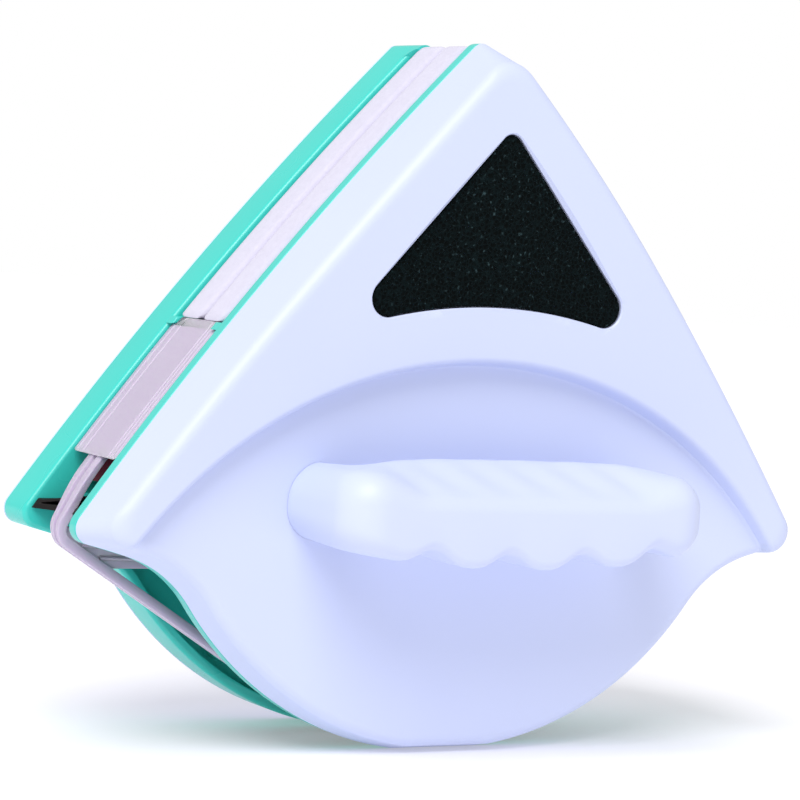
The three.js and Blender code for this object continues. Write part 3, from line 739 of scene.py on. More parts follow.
def frontShell():
    levels = [i / shell["wallSteps"] for i in range(shell["wallSteps"] + 1)]
    levels += [1 + i / shell["rollSteps"] for i in range(1, shell["rollSteps"] + 1)]
    mesh = skin([shellRing(level) for level in levels] + [shellRing(2, shell["rimInset"])], caps=False)
    rim = [e for e in mesh.edges if e.is_boundary and min(v.co.y for v in e.verts) > 1.5]
    bmesh.ops.edgeloop_fill(mesh, edges=rim)

    # Cut it in rows and columns about the arch's centre, where both are straight.
    for vert in mesh.verts:
        spoke = flat(vert.co.x, vert.co.z) - archCentre
        vert.co.x = math.atan2(spoke.x, spoke.y) * shell["archRadius"]
        vert.co.z = spoke.length
    furthest = max(vert.co.z for vert in mesh.verts)
    widest = max(vert.co.x for vert in mesh.verts)
    low, high = (shell["stepFoot"] + edge for edge in shell["stepBand"])
    fine, coarse, wide = shell["rowsFine"], shell["rowsCoarse"], shell["columns"]
    rows = [low + fine * i for i in range(int((high - low) / fine))]
    rows += [low - coarse * i for i in range(1, int(low / coarse))]
    rows += [high + coarse * i for i in range(int((furthest - high) / coarse))]
    columnCount = int(widest / wide)
    cuts = [((0, 0, row), (0, 0, 1)) for row in rows]
    cuts += [((wide * i, 0, 0), (1, 0, 0)) for i in range(-columnCount, columnCount + 1)]
    for point, normal in cuts:
        everything = mesh.verts[:] + mesh.edges[:] + mesh.faces[:]
        bmesh.ops.bisect_plane(mesh, geom=everything, dist=0.01, plane_co=point, plane_no=normal)
    start = body["frontSplit"] + body["seam"] / 2
    for vert in mesh.verts:
        turn = vert.co.x / shell["archRadius"]
        x = vert.co.z * math.sin(turn)
        z = archCentre.y + vert.co.z * math.cos(turn)
        level, rollStart = vert.co.y, frontDepth(x, z) - shell["edge"]
        if level <= 1:
            depth = start + level * (rollStart - start)
        else:
            depth = rollStart + shell["edge"] * math.sin((level - 1) * math.pi / 2)
        vert.co = place(x, depth, z, front)
    outwards(mesh)
    # An open shell may be turned inside out, and its wall would then grow outwards.
    if sum(f.normal.y * f.calc_area() for f in mesh.faces) > 0:
        bmesh.ops.reverse_faces(mesh, faces=mesh.faces)
    bare = asObject("bareShell", mesh)
    wall = bare.modifiers.new("wall", "SOLIDIFY")
    wall.thickness = shell["wall"] / 1000
    wall.offset = -1
    gap, chamfer, deep = insert["gap"], insert["chamfer"], insert["pocket"]
    pan = insertSheet([(insert["pan"], deep + shell["wall"]), (insert["pan"], 1)])
    pocket = insertSheet([(gap, deep), (gap, chamfer), (gap + chamfer, 0), (gap + 2, -2 + chamfer)])
    return combined(applied(bare), ("UNION", pan), ("DIFFERENCE", pocket))


addPiece("shellFront", frontShell(), absWhite, "operator_half", ["front_shell"], 30)
print("front shell built")

foamLevels = [(0, insert["sink"] + insert["thickness"])]
foamLevels += [(-inset, sink) for inset, sink in rounded(insert["edge"], insert["sink"], 4)]
addPiece("foamInsert", insertSheet(foamLevels), foam, "operator_half", ["foam_insert"])
print("foam insert built")

# Handle.

grip = {
    "halfLength": 52,
    "reach": 42,  # outermost point beyond the parting line
    "thickness": 16,
    "low": 50.4,
    "high": 76,
    "endLow": 54.5,
    "endHigh": 71,
    "frontHigh": 66.5,
    "outerRound": 10,
    "innerRound": 6,
    "legWidth": 11,
    "legTaper": 0.9,  # the legs get thinner by this towards their feet
    "taperLength": 20,
    "legZone": (36, 42),  # from the middle, where the bar turns into the legs
    "endFrom": 30,  # from the middle, where the rounder ends begin
    "footSink": 0.2,
    "grooves": 4,
    "groovePitch": 21.2,
    "grooveShift": 3.5,
    "grooveFront": 4.0,
    "grooveBack": 1.3,
    "grooveShape": 1.4,  # over 1 makes the ridges between the fingers wide
    "rippleHeight": 0.3,
    "rippleLength": 13,
    "rippleSlant": 1.1,
    "edge": 2.4,
    "endEdge": 7.0,
    "innerEdge": 3,
    "legSteps": 6,
    "turnSteps": 12,
    "barSteps": 40,
    "acrossSteps": 18,
}
gripFar = body["frontSplit"] + grip["reach"]
gripNear = gripFar - grip["thickness"]


# How far a rounded edge drops at a distance from its side.
def edgeDrop(distance, radius):
    within = max(radius - distance, 0)
    return radius - math.sqrt(max(radius**2 - within**2, 0))


def smoothStep(value, low, high):
    share = min(max((value - low) / (high - low), 0), 1)
    return share * share * (3 - 2 * share)


# The handle's path seen from above: pairs of an outer and an inner point, from foot to foot.
def gripStations():
    half, leg = grip["halfLength"], grip["legWidth"]
    outerRound, innerRound = grip["outerRound"], grip["innerRound"]
    outerTurn = flat(half - outerRound, gripFar - outerRound)
    innerTurn = flat(half - leg - innerRound, gripNear - innerRound)
    foot = dishDepth(0) + grip["footSink"]
    stations = []
    for i in range(grip["legSteps"]):
        share = i / grip["legSteps"]
        outer = flat(half, foot + (outerTurn.y - foot) * share)
        stations.append((outer, flat(half - leg, foot + (innerTurn.y - foot) * share)))
    for i in range(grip["turnSteps"] + 1):
        turn = math.pi / 2 * i / grip["turnSteps"]
        way = flat(math.cos(turn), math.sin(turn))
        stations.append((outerTurn + way * outerRound, innerTurn + way * innerRound))
    for i in range(grip["barSteps"]):
        left = 1 - (i + 1) / grip["barSteps"]
        stations.append((flat(outerTurn.x * left, gripFar), flat(innerTurn.x * left, gripNear)))
    return stations + [(flat(-a.x, a.y), flat(-b.x, b.y)) for a, b in reversed(stations[:-1])]


def handle():
    rings = []
    steps = grip["acrossSteps"]
    shares = [(1 - math.cos(math.pi * i / steps)) / 2 for i in range(steps + 1)]
    grooved = grip["grooves"] * grip["groovePitch"] / 2
    for outer, inner in gripStations():
        width = (outer - inner).length
        ended = smoothStep(abs(outer.x), grip["endFrom"], grip["halfLength"])
        outerEdge = grip["edge"] + (grip["endEdge"] - grip["edge"]) * ended
        innerEdge = grip["innerEdge"] + ended
        upper, lower = [], []
        for share in shares:
            point = outer.lerp(inner, share)
            away = min(abs(point.x) / (grip["halfLength"] + 1), 1)
            low = grip["low"] + (grip["endLow"] - grip["low"]) * away**2
            high = grip["high"] + (grip["endHigh"] - grip["high"]) * away**4
            taper = min(max((gripFar - grip["outerRound"] - point.y) / grip["taperLength"], 0), 1)
            taper *= grip["legTaper"] * smoothStep(abs(point.x), *grip["legZone"])
            high -= taper
            low += taper * 0.4
            # The top rises from the front towards the inside of the bar, with slanting ripples.
            slope = min(share * width / (grip["thickness"] - 2), 1)
            frontHigh = grip["frontHigh"] + (high - grip["frontHigh"]) * ended
            ripple = math.sin(math.tau * (point.x / grip["rippleLength"] + share * grip["rippleSlant"]))
            ripple *= grip["rippleHeight"] * (1 - ended) * math.sin(math.pi * share) ** 2
            top = frontHigh + (high - frontHigh) * slope + ripple
            along = point.x - grip["grooveShift"]
            if abs(along) < grooved:
                wave = 0.5 - 0.5 * math.cos(math.tau * along / grip["groovePitch"])
                scoop = grip["grooveFront"] + (grip["grooveBack"] - grip["grooveFront"]) * share
                low += scoop * wave ** grip["grooveShape"]
            drop = edgeDrop(share * width, outerEdge) + edgeDrop((1 - share) * width, innerEdge)
            upper.append((point, top - drop))
            lower.append((point, low + drop))
        loop = upper + lower[::-1]
        rings.append([place(p.x, max(p.y, dishDepth(z) + 0.15), z, front) for p, z in loop])
    return skin(rings)


addPiece("handleGrip", handle(), absWhite, "operator_half", ["handle"], 50)
print("handle built")

# Trays.

tray = {
    "wall": 2.2,
    "floor": 2.4,
    "edge": 1.2,
    "wellTop": 43,
    "wellLip": 2.6,
    "wellDepth": 6,
    "bossRadius": 4.3,
    "bossSink": 1.6,
    "ribHeight": 2.8,
    "ribThickness": 1.1,
    "ribEndInset": 11.3,
    "ribEdge": 0.25,
    "nibInsets": (0.05, 2.2),
    "nibHeights": (102.6, 104.35),
    "nibReach": 2.6,
    "soft": 0.3,
    "partingEdge": 0.25,
    "hook": 2.8,
    "hookRoot": 1.5,
    "hookSide": 3.5,  # how far the hook's root comes down the sides, and its tip
    "hookTipSide": 1.2,
    "hookThick": (1.9, 0.7),
    "hookSteps": 12,
}
blade = {
    "thickness": 1.8,
    "tip": 1.2,
    "baseHeight": 57,
    "endInset": 1.4,
    "lipTrim": 5.2,
    "spread": 1.7,
    "root": 3,
    "sideInset": 8.3,
    "sideLow": 63,
    "sideHigh": 102,
    "clearance": 0.3,
}
screws = {
    "radius": 1.45,
    "head": 2.9,
    "headHeight": 1.5,
    "cross": (1.7, 0.35),  # half length and half width of a slot of the crossed recess
    "clearance": 0.3,
    "lowerInset": 9,
    "lowerAngle": 33.8,
    "topDrop": 16.6,
}
lowerTurn = math.radians(screws["lowerAngle"] - 90)
lowerWay = flat(math.cos(lowerTurn), math.sin(lowerTurn))
lowerScrew = bulgeCentre + lowerWay * (bulgeRadius - screws["lowerInset"])
topScrew = flat(0, body["crossHeight"] - screws["topDrop"])
baseRoot = blade["baseHeight"] + blade["thickness"] / 2 + 0.6


# A strip along a side of the body, between two insets and two heights, as a function of inset.
def sideStrip(sign, outer, inner, low, high, steps=24):
    def at(inset):
        heights = [low + inset + (high - low - 2 * inset) * i / steps for i in range(steps + 1)]
        outside = [flat(sign * sideX(z, outer + inset), z) for z in heights]
        inside = [flat(sign * sideX(z, inner - inset), z) for z in reversed(heights)]
        return outside + inside

    return at


# The body's outline below a height, as a slab.
def lowerSlab(inset, near, far, top, side):
    return cutLevel(prism(lambda more: outline(inset + more), near, far, side), top)


def trayMesh(split, side):
    face, wall, edge = body["trayFace"], tray["wall"], tray["edge"]
    parting = split - body["seam"] / 2
    soft = tray["partingEdge"]
    levels = [(wall, face + tray["floor"]), (wall, parting), (soft, parting), (0, parting - soft)]
    levels += rounded(edge, face, 5)
    deep = face + tray["floor"] + tray["wellDepth"]
    inShell = shell["wall"] + shell["draft"] + body["seam"] + wall
    wellInset = inShell if deep > split else tray["wellLip"]
    outerWell = lowerSlab(wellInset - wall, face + 1, deep, tray["wellTop"] + wall, side)
    well = lowerSlab(wellInset, face - 1, face + tray["wellDepth"], tray["wellTop"], side)
    head, shank = (screws[part] + screws["clearance"] for part in ("head", "radius"))
    seat = face + screws["headHeight"] + body["seam"]
    bore = [(0, face - 1), (head, face - 1), (head, seat), (shank, seat), (shank, face + 4), (0, face + 4)]
    hole = turned(bore, topScrew.x, topScrew.y, side, 24)
    mesh = swept(outline, levels, side)
    mesh = combined(mesh, ("UNION", outerWell), ("DIFFERENCE", well), ("DIFFERENCE", hole))
    softened(mesh, tray["soft"], 50)

    bossTop, bossFoot = face + tray["bossSink"], face + tray["wellDepth"]
    radius = tray["bossRadius"]
    boss = [
        (0, bossFoot + 0.5),
        (radius + 0.6, bossFoot + 0.5),
        (radius + 0.6, bossFoot - 0.05),
        (radius + 0.15, bossFoot - 0.5),
        (radius, bossTop + 0.4),
        (radius - 0.15, bossTop + 0.1),
        (radius - 0.4, bossTop),
        (head + 0.2, bossTop),
        (head, bossTop + 0.2),
        (head, seat + tray["bossSink"]),
        (0, seat + tray["bossSink"]),
    ]
    parts = [turned(boss, sign * lowerScrew.x, lowerScrew.y, side) for sign in (-1, 1)]

    # Ribs hold the blades, and a nib stands at each side where the pad steps in.
    top, deep, ribEdge = face - tray["ribHeight"], face + 0.5, tray["ribEdge"]
    rib, gap = tray["ribThickness"], blade["clearance"]
    ribEnd = sideX(blade["baseHeight"], tray["ribEndInset"])
    under = blade["baseHeight"] - blade["thickness"] / 2 - gap
    for low in (under - rib, baseRoot + gap):
        parts.append(blockAt((-ribEnd, ribEnd), (top, deep), (low, low + rib), side, ribEdge))
    insets = (blade["sideInset"] - gap - rib, blade["sideInset"] + blade["thickness"] + gap)
    for sign in (-1, 1):
        for inset in insets:
            strip = sideStrip(sign, inset, inset + rib, blade["sideLow"], blade["sideHigh"])
            parts.append(prism(strip, top, deep, side, ribEdge))
        nib = sideStrip(sign, *tray["nibInsets"], *tray["nibHeights"], 4)
        parts.append(prism(nib, face - tray["nibReach"], face + 1.0, side, 0.5))
    if side == back:
        parts.append(apexHook(side))
    return together(mesh, *parts)


# Half the body's width at a height near the apex, inset evenly.
def apexX(z, inset):
    radius = body["apexRound"] - inset
    centre = outline(0)[0].y - body["apexRound"]
    if z > centre + radius * math.cos(sideSlope):
        return math.sqrt(max(radius**2 - (z - centre) ** 2, 0))
    return sideX(z, inset)


# The tip of the outdoor tray turns over the tip of its pad, and narrows towards its end.
def apexHook(side):
    face, top = body["trayFace"], outline(0)[0].y
    rootThick, tipThick = tray["hookThick"]
    shares = [(k / 14) ** 2 for k in range(15)]
    rings = []
    for i in range(tray["hookSteps"] + 1):
        share = i / tray["hookSteps"]
        depth = face + tray["hookRoot"] - (tray["hook"] + tray["hookRoot"]) * share
        reach = tray["hookTipSide"] + tray["hookSide"] * (1 - share) ** 2.2
        thick = rootThick + (tipThick - rootThick) * share
        right = []
        for inset, start, length in ((0.02, top - 0.02, reach), (thick, top - thick, reach - 0.3)):
            right.append([flat(apexX(start - length * k, inset), start - length * k) for k in shares])
        outer, inner = right
        loop = [flat(-p.x, p.y) for p in reversed(outer[1:])] + outer
        loop += inner[::-1] + [flat(-p.x, p.y) for p in inner[1:]]
        rings.append([place(p.x, depth, p.y, side) for p in loop])
    return outwards(skin(rings))


halves = (("front", front, "operator_half"), ("back", back, "outdoor_half"))
for name, side, half in halves:
    trayShape = trayMesh(body[name + "Split"], side)
    addPiece("tray" + name.title(), trayShape, absTeal, half, [name + "_tray"])
print("trays built")

# Pads.

pad = {
    "face": 0.4,
    "back": 11.2,
    "inset": 0.5,
    "waistInset": 12.4,
    "foot": 64.5,
    "step": 104.5,
    "stepRound": 0.6,
    "edge": 2.0,
}


# A pad's outline: the full width above the step, then a waist between the side blades.
def padOutline(inset):
    wide, waist = pad["inset"] + inset, pad["waistInset"] + inset
    step, foot = pad["step"] + inset, pad["foot"] + inset
    upper = outline(wide)[:9]  # the round of the apex
    fall = [upper[-1].y + (step + pad["stepRound"] - upper[-1].y) * i / 40 for i in range(1, 41)]
    upper += [flat(sideX(z, wide), z) for z in fall]
    footRound = 4 * pad["stepRound"]
    heights = [step - pad["stepRound"] + (foot - step + 3) * i / 24 for i in range(25)]
    side = [flat(sideX(z, waist), z) for z in heights]
    low = [flat(side[-1].x - footRound * i, foot + footRound * (1 - i) ** 2) for i in (0.25, 0.5, 0.75, 1)]
    stepOut = [flat(sideX(step, wide) - 0.5, step), flat(sideX(step, waist) + 1.5, step)]
    return mirrored(upper + stepOut + side + low)


def padMesh(side):
    near, far, edge = pad["face"], pad["back"], pad["edge"]
    levels = [(0.8, far), (0.15, far - 0.8), (0, far - 2.5), (0, near + edge + 1.5)]
    return swept(padOutline, levels + rounded(edge, near, 6), side)


for name, side, half in halves:
    cushion = addPiece("pad" + name.title(), padMesh(side), fleece, half, [name + "_pad"], 60)
print("pads built")

# Blades.


def baseBlade(side):
    low, tip = blade["baseHeight"] - blade["thickness"] / 2, blade["tip"]
    rootBack = body["trayFace"] - body["seam"]
    root = rootBack - blade["root"]
    lipTop, spread = low + 0.75 * blade["thickness"], baseRoot + blade["spread"]
    profile = [
        (tip, low),
        (rootBack, low),
        (rootBack, baseRoot),
        (root, baseRoot),
        (tip + 1.2, spread),
        (tip + 1, spread - 0.7),
        (root, lipTop + 0.25),
        (root, lipTop),
        (tip, lipTop),
    ]
    ends = []
    for sign in (-1, 1):
        end = []
        for depth, z in profile:
            # The lips are trimmed shorter than the root, to clear the separator's rail.
            trim = blade["lipTrim"] * min(max((root - depth) / (root - tip), 0), 1)
            end.append(place(sign * sideX(z, blade["endInset"] + trim), depth, z, side))
        ends.append(end)
    return softened(skin(ends), 0.12, 60, 1)


for name, side, half in halves:
    base = baseBlade(side)
    addPiece("baseBlade" + name.title(), base, rubberBlack, half, [name + "_base_blade"])
    for sign, hand in ((-1, "left"), (1, "right")):
        inset, low, high = blade["sideInset"], blade["sideLow"] + 0.5, blade["sideHigh"] - 0.5
        strip = sideStrip(sign, inset, inset + blade["thickness"], low, high)
        upright = prism(strip, blade["tip"], body["trayFace"] - body["seam"], side, 0.35)
        node = name + "_" + hand + "_blade"
        addPiece(hand + "Blade" + name.title(), upright, rubberMaroon, half, [node])
print("blades built")

# Separator.

spacer = {
    "inset": 3.4,
    "width": 4,
    "halfDepth": 4.4,
    "round": 5,
    "slope": 31.7,
    "groove": 1.3,
    "ridges": 2,
    "ridgeEdge": 0.35,
    "grooveShape": (0.28, 0.66, 0.78, 1.16),  # along one ridge and its groove: their tops and floors
    "grooveShare": 0.7,
    "innerRound": 0.4,
    "barWidth": 0.62,  # shares of the width and depth that the bars and the round bottom have
    "barDepth": 0.5,
    "railWidth": 0.43,  # and those of the rails beside the blade ends
    "railDepth": 0.85,
    "railZone": (48, 66),  # heights between which the bars turn into rails
    "outZone": (50, 68),  # heights between which the frame runs out towards the body's side
    "loopSink": 0.5,  # the loop's end goes in behind the shield's face
    "shieldInset": 0.9,
    "shieldThickness": 2.1,
    "shieldFoot": 70.5,
    "shieldTop": 104.35,
    "shieldEdge": 0.7,
    "shieldFootRound": 1.8,
    "shieldGroove": 0.3,
    "shieldLines": (-0.86, -0.72, -0.6, 0.55, 0.8),  # fine grooves, as shares of its half depth
    "notch": 2.0,  # the shield's top corners clear the trays' nibs
    "notchReach": 2.2,
    "armTop": 104.35,
    "plateLow": 43,
    "plateHigh": 53,
    "plateHalfDepth": 0.9,
    "ribs": ((45, 88), (48, 93), (51, 95)),  # heights and half lengths
    "ribBow": 1.2,
    "ribReach": 1.5,
    "ribHalfHeight": 0.7,
}


# The frame's outline: the sides, straight bars under the corners, and the round bottom.
def frameOutline(inset):
    side = sideRadius - inset
    bulge = bulgeRadius - inset
    slope = math.radians(spacer["slope"])
    direction = flat(math.cos(slope), math.sin(slope))
    up = flat(-direction.y, direction.x)
    leave = bulgeCentre - up * bulge
    turn = max(spacer["round"] - (inset - spacer["inset"]), body["leastRound"])
    centre = lineMeetsCircle(leave + up * turn, direction, sideCentre, side - turn, 1)
    start = sideCentre.lerp(centre, side / (side - turn))
    top = flat(0, sideCentre.y + math.sqrt(side**2 - sideCentre.x**2))
    foot = flat(math.sqrt(bulge**2 - (bulgeCentre.y - inset) ** 2), inset)
    return mirrored(
        arc(sideCentre, side, top, start, 60)
        + arc(centre, turn, start, centre - up * turn, 10)[1:]
        + arc(bulgeCentre, bulge, leave, foot, 30)
    )


# Ridges across the outer face of the loop: (inset, depth) pairs from one edge to the other.
def ridged():
    half, edge, groove = spacer["halfDepth"], spacer["ridgeEdge"], spacer["groove"]
    start, end, floorStart, floorEnd = spacer["grooveShape"]
    pitch = 2 * half / spacer["ridges"]
    points = [(edge, -half)]
    for i in range(spacer["ridges"]):
        low = pitch * i - half
        points += [(0, low + (pitch * start if i else edge)), (0, low + pitch * end)]
        points += [(groove, low + pitch * floorStart), (groove, low + pitch * floorEnd)]
    return points[:-3] + [(0, half - edge), (edge, half)]


def separatorLoop():
    half, width, soft = spacer["halfDepth"], spacer["width"], spacer["innerRound"]
    profile = ridged() + [(width - soft, half), (width, half - soft)]
    profile += [(width, soft - half), (width - soft, -half)]
    outMost = spacer["inset"] - spacer["shieldInset"] - spacer["loopSink"]
    rings = []
    for inset, depth in profile + profile[:1]:
        ring = []
        for outer, own in zip(frameOutline(spacer["inset"]), frameOutline(spacer["inset"] + inset)):
            # Shallow round the bottom and the corners, deeper and thin beside the blade ends.
            full = smoothStep(outer.y, *spacer["railZone"])
            share = spacer["barWidth"] + (spacer["railWidth"] - spacer["barWidth"]) * full
            p = outer.lerp(own, spacer["grooveShare"] if inset <= spacer["groove"] else share)
            deep = depth * (spacer["barDepth"] + (spacer["railDepth"] - spacer["barDepth"]) * full)
            out = outMost * smoothStep(p.y, *spacer["outZone"]) / math.sin(sideSlope)
            ring.append(place(p.x + math.copysign(out, p.x), deep, p.y, back))
        rings.append(ring)
    return cutLevel(outwards(skin(rings, caps=False)), spacer["shieldFoot"] + 1.5)


def separatorShield(sign):
    half = body["trayFace"] - body["seam"] - 0.1
    thick, groove, edge = spacer["shieldThickness"], spacer["shieldGroove"], spacer["shieldEdge"]
    soft = spacer["innerRound"]
    profile = [(edge, -half), (edge * 0.3, 0.25 - half), (0, edge - half)]
    for line in spacer["shieldLines"]:
        profile += [(0, line * half - 0.35), (groove, line * half), (0, line * half + 0.35)]
    profile += [(0, half - edge), (edge * 0.3, half - 0.25), (edge, half)]
    profile += [(thick - soft, half), (thick, half - soft), (thick, soft - half), (thick - soft, -half)]
    rings = []
    steps = 30
    for i in range(steps + 1):
        ring = []
        for inset, depth in profile:
            low = spacer["shieldFoot"] + edgeDrop(half - abs(depth), spacer["shieldFootRound"])
            notched = abs(depth) > half - spacer["notchReach"]
            high = spacer["shieldTop"] - (spacer["notch"] if notched else 0)
            z = low + (high - low) * i / steps
            ring.append(place(sign * sideX(z, spacer["shieldInset"] + inset), depth, z, back))
        rings.append(ring)
    return outwards(skin(rings))


# The frame's arms carry on behind the shields.
def separatorArm(sign):
    outer = spacer["shieldInset"] + spacer["shieldThickness"] - 0.2
    inner = spacer["shieldInset"] + spacer["width"] + 1
    strip = sideStrip(sign, outer, inner, spacer["shieldFoot"] + 0.5, spacer["armTop"])
    return outwards(prism(strip, -spacer["halfDepth"], spacer["halfDepth"], back, 0.5, True))


# The plate across the frame, with curved ribs on both sides.
def crossPlate():
    inset, half = spacer["inset"] + spacer["width"] / 2, spacer["plateHalfDepth"]
    mesh = prism(lambda more: frameOutline(inset + more), -half, half, back)
    cutLevel(cutLevel(mesh, spacer["plateHigh"]), spacer["plateLow"], False)
    parts = [outwards(mesh)]
    turns = [math.tau * k / 10 for k in range(10)]
    for height, length in spacer["ribs"]:
        rings = []
        for share in [i / 20 - 1 for i in range(41)]:
            z = height + spacer["ribBow"] * (share**2 - 0.5)
            x, deep, tall = length * share, spacer["ribReach"], spacer["ribHalfHeight"]
            rings.append([place(x, deep * math.cos(t), z + tall * math.sin(t), back) for t in turns])
        parts.append(outwards(skin(rings)))
    return together(*parts)


separatorParts = [separatorLoop(), crossPlate()]
for sign in (-1, 1):
    separatorParts += [separatorShield(sign), separatorArm(sign)]
separatorMesh = together(*separatorParts)
addPiece("separatorFrame", separatorMesh, polypropyleneMilky, "spacer", ["separator"], 40)
print("separator built")

# Back cover and its cord pin.

cover = {
    "shrink": 0.21,
    "middle": 80,
    "pocketWidth": 20,
    "pocketTall": 12,
    "pocketDepth": 9.5,
    "pocketDrop": 46.6,
    "pinRadius": 1.5,
    "pinSink": 2.4,
    "pinSocket": 1.7,
    "panelDepth": 0.7,
    "partingEdge": 0.25,
    # Shares of the depth and of the lean, from the parting line to the flat back.
    "shape": (
        (0, 0),
        (0.3, 0.22),
        (0.6, 0.47),
        (0.76, 0.63),
        (0.87, 0.76),
        (0.94, 0.86),
        (0.98, 0.94),
        (1, 1),
    ),
    # The raised rim and the panel inside it: lean, and share of the panel's depth.
    "rim": ((1.05, 0), (1.32, 0), (1.34, 0.5), (1.36, 1)),
}
pocketHeight = body["crossHeight"] - cover["pocketDrop"]
pinDepth = body["coverBack"] - cover["pinSink"]


def coverRing(wall, lean, depth):
    middle = flat(0, cover["middle"])
    points = [p.lerp(middle, lean * cover["shrink"]) for p in outline(wall)]
    return [place(p.x, depth, p.y, back) for p in points]


def backCover():
    wall = shell["wall"]
    start, end = body["backSplit"] + body["seam"] / 2, body["coverBack"]
    shape = cover["shape"]
    inner, soft = end - wall - start, cover["partingEdge"]
    rings = [coverRing(wall, lean, start - 0.01 + share * inner) for share, lean in shape[::-1]]
    rings += [coverRing(soft, 0, start), coverRing(0, 0, start + soft)]
    rings += [coverRing(0, lean, start + share * (end - start)) for share, lean in shape[1:]]
    rings += [coverRing(0, lean, end - cover["panelDepth"] * share) for lean, share in cover["rim"]]
    mesh = skin(rings)

    # A tub behind the pocket, the pocket itself and the sockets that hold the ends of the pin.
    half, tall = cover["pocketWidth"] / 2, cover["pocketTall"] / 2
    floor, thick = end - cover["pocketDepth"], wall + 0.4
    hold = cover["pinRadius"] + screws["clearance"]
    reach = half + cover["pinSocket"]

    def hollow(wide, high, near, far, edge):
        upright = (pocketHeight - high, pocketHeight + high)
        return blockAt((-wide, wide), (near, far), upright, back, edge)

    return combined(
        mesh,
        ("UNION", hollow(half + thick, tall + thick, floor - thick, end - 1.2, 0.8)),
        ("DIFFERENCE", hollow(half, tall, floor, end + 5, 1.2)),
        ("DIFFERENCE", hollow(reach, hold, pinDepth - hold, end + 5, 0.3)),
    )


addPiece("coverBack", backCover(), absWhite, "outdoor_half", ["back_cover"], 30)


# The pin lies across the pocket, so it is spun about an axis along x.
def cordPin():
    mesh = bmesh.new()
    half = cover["pocketWidth"] / 2 + cover["pinSocket"] - screws["clearance"]
    radius, chamfer = cover["pinRadius"], 0.3
    centre = place(0, pinDepth, pocketHeight, back)
    profile = [(-half, 0), (-half, radius - chamfer), (chamfer - half, radius)]
    profile += [(-x, r) for x, r in reversed(profile)]
    verts = [mesh.verts.new(centre + Vector((x, 0, r)) / 1000) for x, r in profile]
    edges = [mesh.edges.new(pair) for pair in zip(verts, verts[1:])]
    bmesh.ops.spin(
        mesh,
        geom=verts + edges,
        cent=centre,
        axis=(1, 0, 0),
        angle=math.tau,
        steps=28,
        use_merge=True,
    )
    return mesh


addPiece("cordPin", cordPin(), steelZinc, "outdoor_half", ["cord_pin"])
print("back cover and pin built")

# Screws in the wells, with crossed recesses.


def screwMesh(x, z, seat, side, length):
    head, high = screws["head"], screws["headHeight"]
    profile = [(0, seat - high), (head * 0.35, seat - high)]
    for i in range(1, 6):
        t = math.pi / 2 * i / 5
        profile.append((head * 0.35 + head * 0.65 * math.sin(t), seat - high * math.cos(t) * 0.85))
    profile += [(head, seat - 0.05), (screws["radius"], seat), (screws["radius"], seat + length - 1.4)]
    profile.append((0, seat + length))
    cuts = []
    for wide, tall in (screws["cross"], screws["cross"][::-1]):
        depths = (seat - high - 1, seat - 0.5)
        cuts.append(("DIFFERENCE", blockAt((x - wide, x + wide), depths, (z - tall, z + tall), side)))
    return combined(turned(profile, x, z, side, 28), *cuts)


seat = body["trayFace"] + tray["bossSink"] + screws["headHeight"] + body["seam"] / 2
for name, side, half in halves:
    for sign, hand in ((-1, "left"), (1, "right")):
        node = name + "_tray_screw_" + hand
        nearest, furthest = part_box(node)
        length = (furthest.y - nearest.y) * 1000 - screws["headHeight"]
        made = screwMesh(sign * lowerScrew.x, lowerScrew.y, seat, side, length)
        addPiece("screw" + name.title() + hand.title(), made, steelZinc, half, [node])
print("screws built")

# CAD nodes that stay.

for name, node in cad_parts.items():
    if node.hide_render:
        continue
    if "magnet" in name:
        kept = nickel
    elif "backing" in name:
        kept = hooks
    else:
        kept = steelZinc
    node.data.materials.clear()
    node.data.materials.append(kept)
print("kept nodes finished")

# Floor, light and camera.

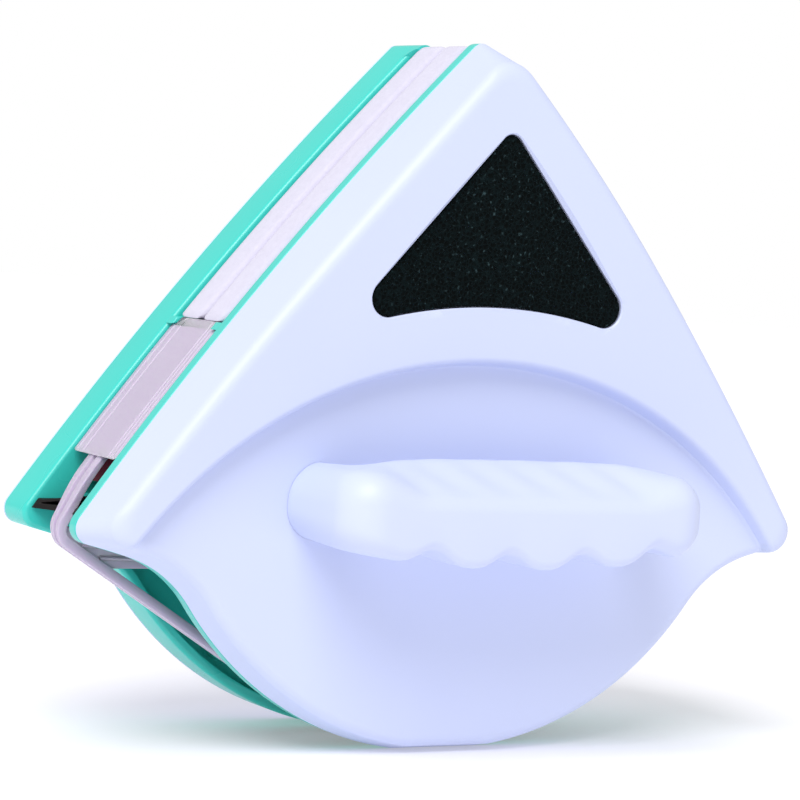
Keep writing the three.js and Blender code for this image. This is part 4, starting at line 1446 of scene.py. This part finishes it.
studio = {
    "floorRadius": 4,
    "world": 0.64,  # the light that it gives; where it shows, it is plain white
    "floorColour": "#e6e5ea",
    "floorGlow": 0.24,
    "keyStrength": 2.05,
    "keySpread": 38,  # degrees
    "keyFrom": (-0.5, -0.5, 0.86),
}
floorMesh = bmesh.new()
bmesh.ops.create_circle(floorMesh, cap_ends=True, segments=64, radius=studio["floorRadius"])
floor = asObject("floor", floorMesh)
paper, paperTree = newMaterial("paperBackdrop")[:2]
addShader(
    paperTree,
    {
        "Base Color": linear(studio["floorColour"]),
        "Roughness": 0.95,
        "Specular IOR Level": 0.1,
        "Emission Color": (1, 1, 1, 1),
        "Emission Strength": studio["floorGlow"],
    },
)
floor.data.materials.append(paper)

world = bpy.data.worlds.new("studioWorld")
world.use_nodes = True
sky = world.node_tree.nodes["Background"]
sky.inputs["Color"].default_value = (1, 1, 1, 1)
path = addNode(world.node_tree, "ShaderNodeLightPath")
strength = addNode(
    world.node_tree,
    "ShaderNodeMapRange",
    {"To Min": studio["world"], "To Max": 1.0},
    {"Value": path.outputs["Is Camera Ray"]},
)
world.node_tree.links.new(strength.outputs[0], sky.inputs["Strength"])
bpy.context.scene.world = world

# One large soft light, far away, so that the floor is lit evenly up to the horizon.
keyData = bpy.data.lights.new("keyLight", "SUN")
keyData.energy = studio["keyStrength"]
keyData.angle = math.radians(studio["keySpread"])
key = bpy.data.objects.new("keyLight", keyData)
bpy.context.scene.collection.objects.link(key)
key.rotation_euler = Vector(studio["keyFrom"]).to_track_quat("Z", "Y").to_euler()

view = {
    "lens": 135,
    "azimuth": -31,
    "elevation": 3.5,
    "roll": 4.1,
    "distance": 0.75894,
    "aim": (-0.00948, 0.00308, 0.0867),
}
azimuth, elevation, roll = (math.radians(view[k]) for k in ("azimuth", "elevation", "roll"))
behind = Vector(
    (
        math.sin(azimuth) * math.cos(elevation),
        -math.cos(azimuth) * math.cos(elevation),
        math.sin(elevation),
    )
)
level = Vector((math.cos(azimuth), math.sin(azimuth), 0))
above = behind.cross(level)
right = level * math.cos(roll) + above * math.sin(roll)
up = above * math.cos(roll) - level * math.sin(roll)
cameraData = bpy.data.cameras.new("camera")
cameraData.lens = view["lens"]
camera = bpy.data.objects.new("camera", cameraData)
bpy.context.scene.collection.objects.link(camera)
turn = Matrix((right, up, behind)).transposed().to_4x4()
camera.matrix_world = Matrix.Translation(Vector(view["aim"]) + behind * view["distance"]) @ turn
bpy.context.scene.camera = camera
bpy.context.scene.view_settings.view_transform = "Standard"
print("studio ready")
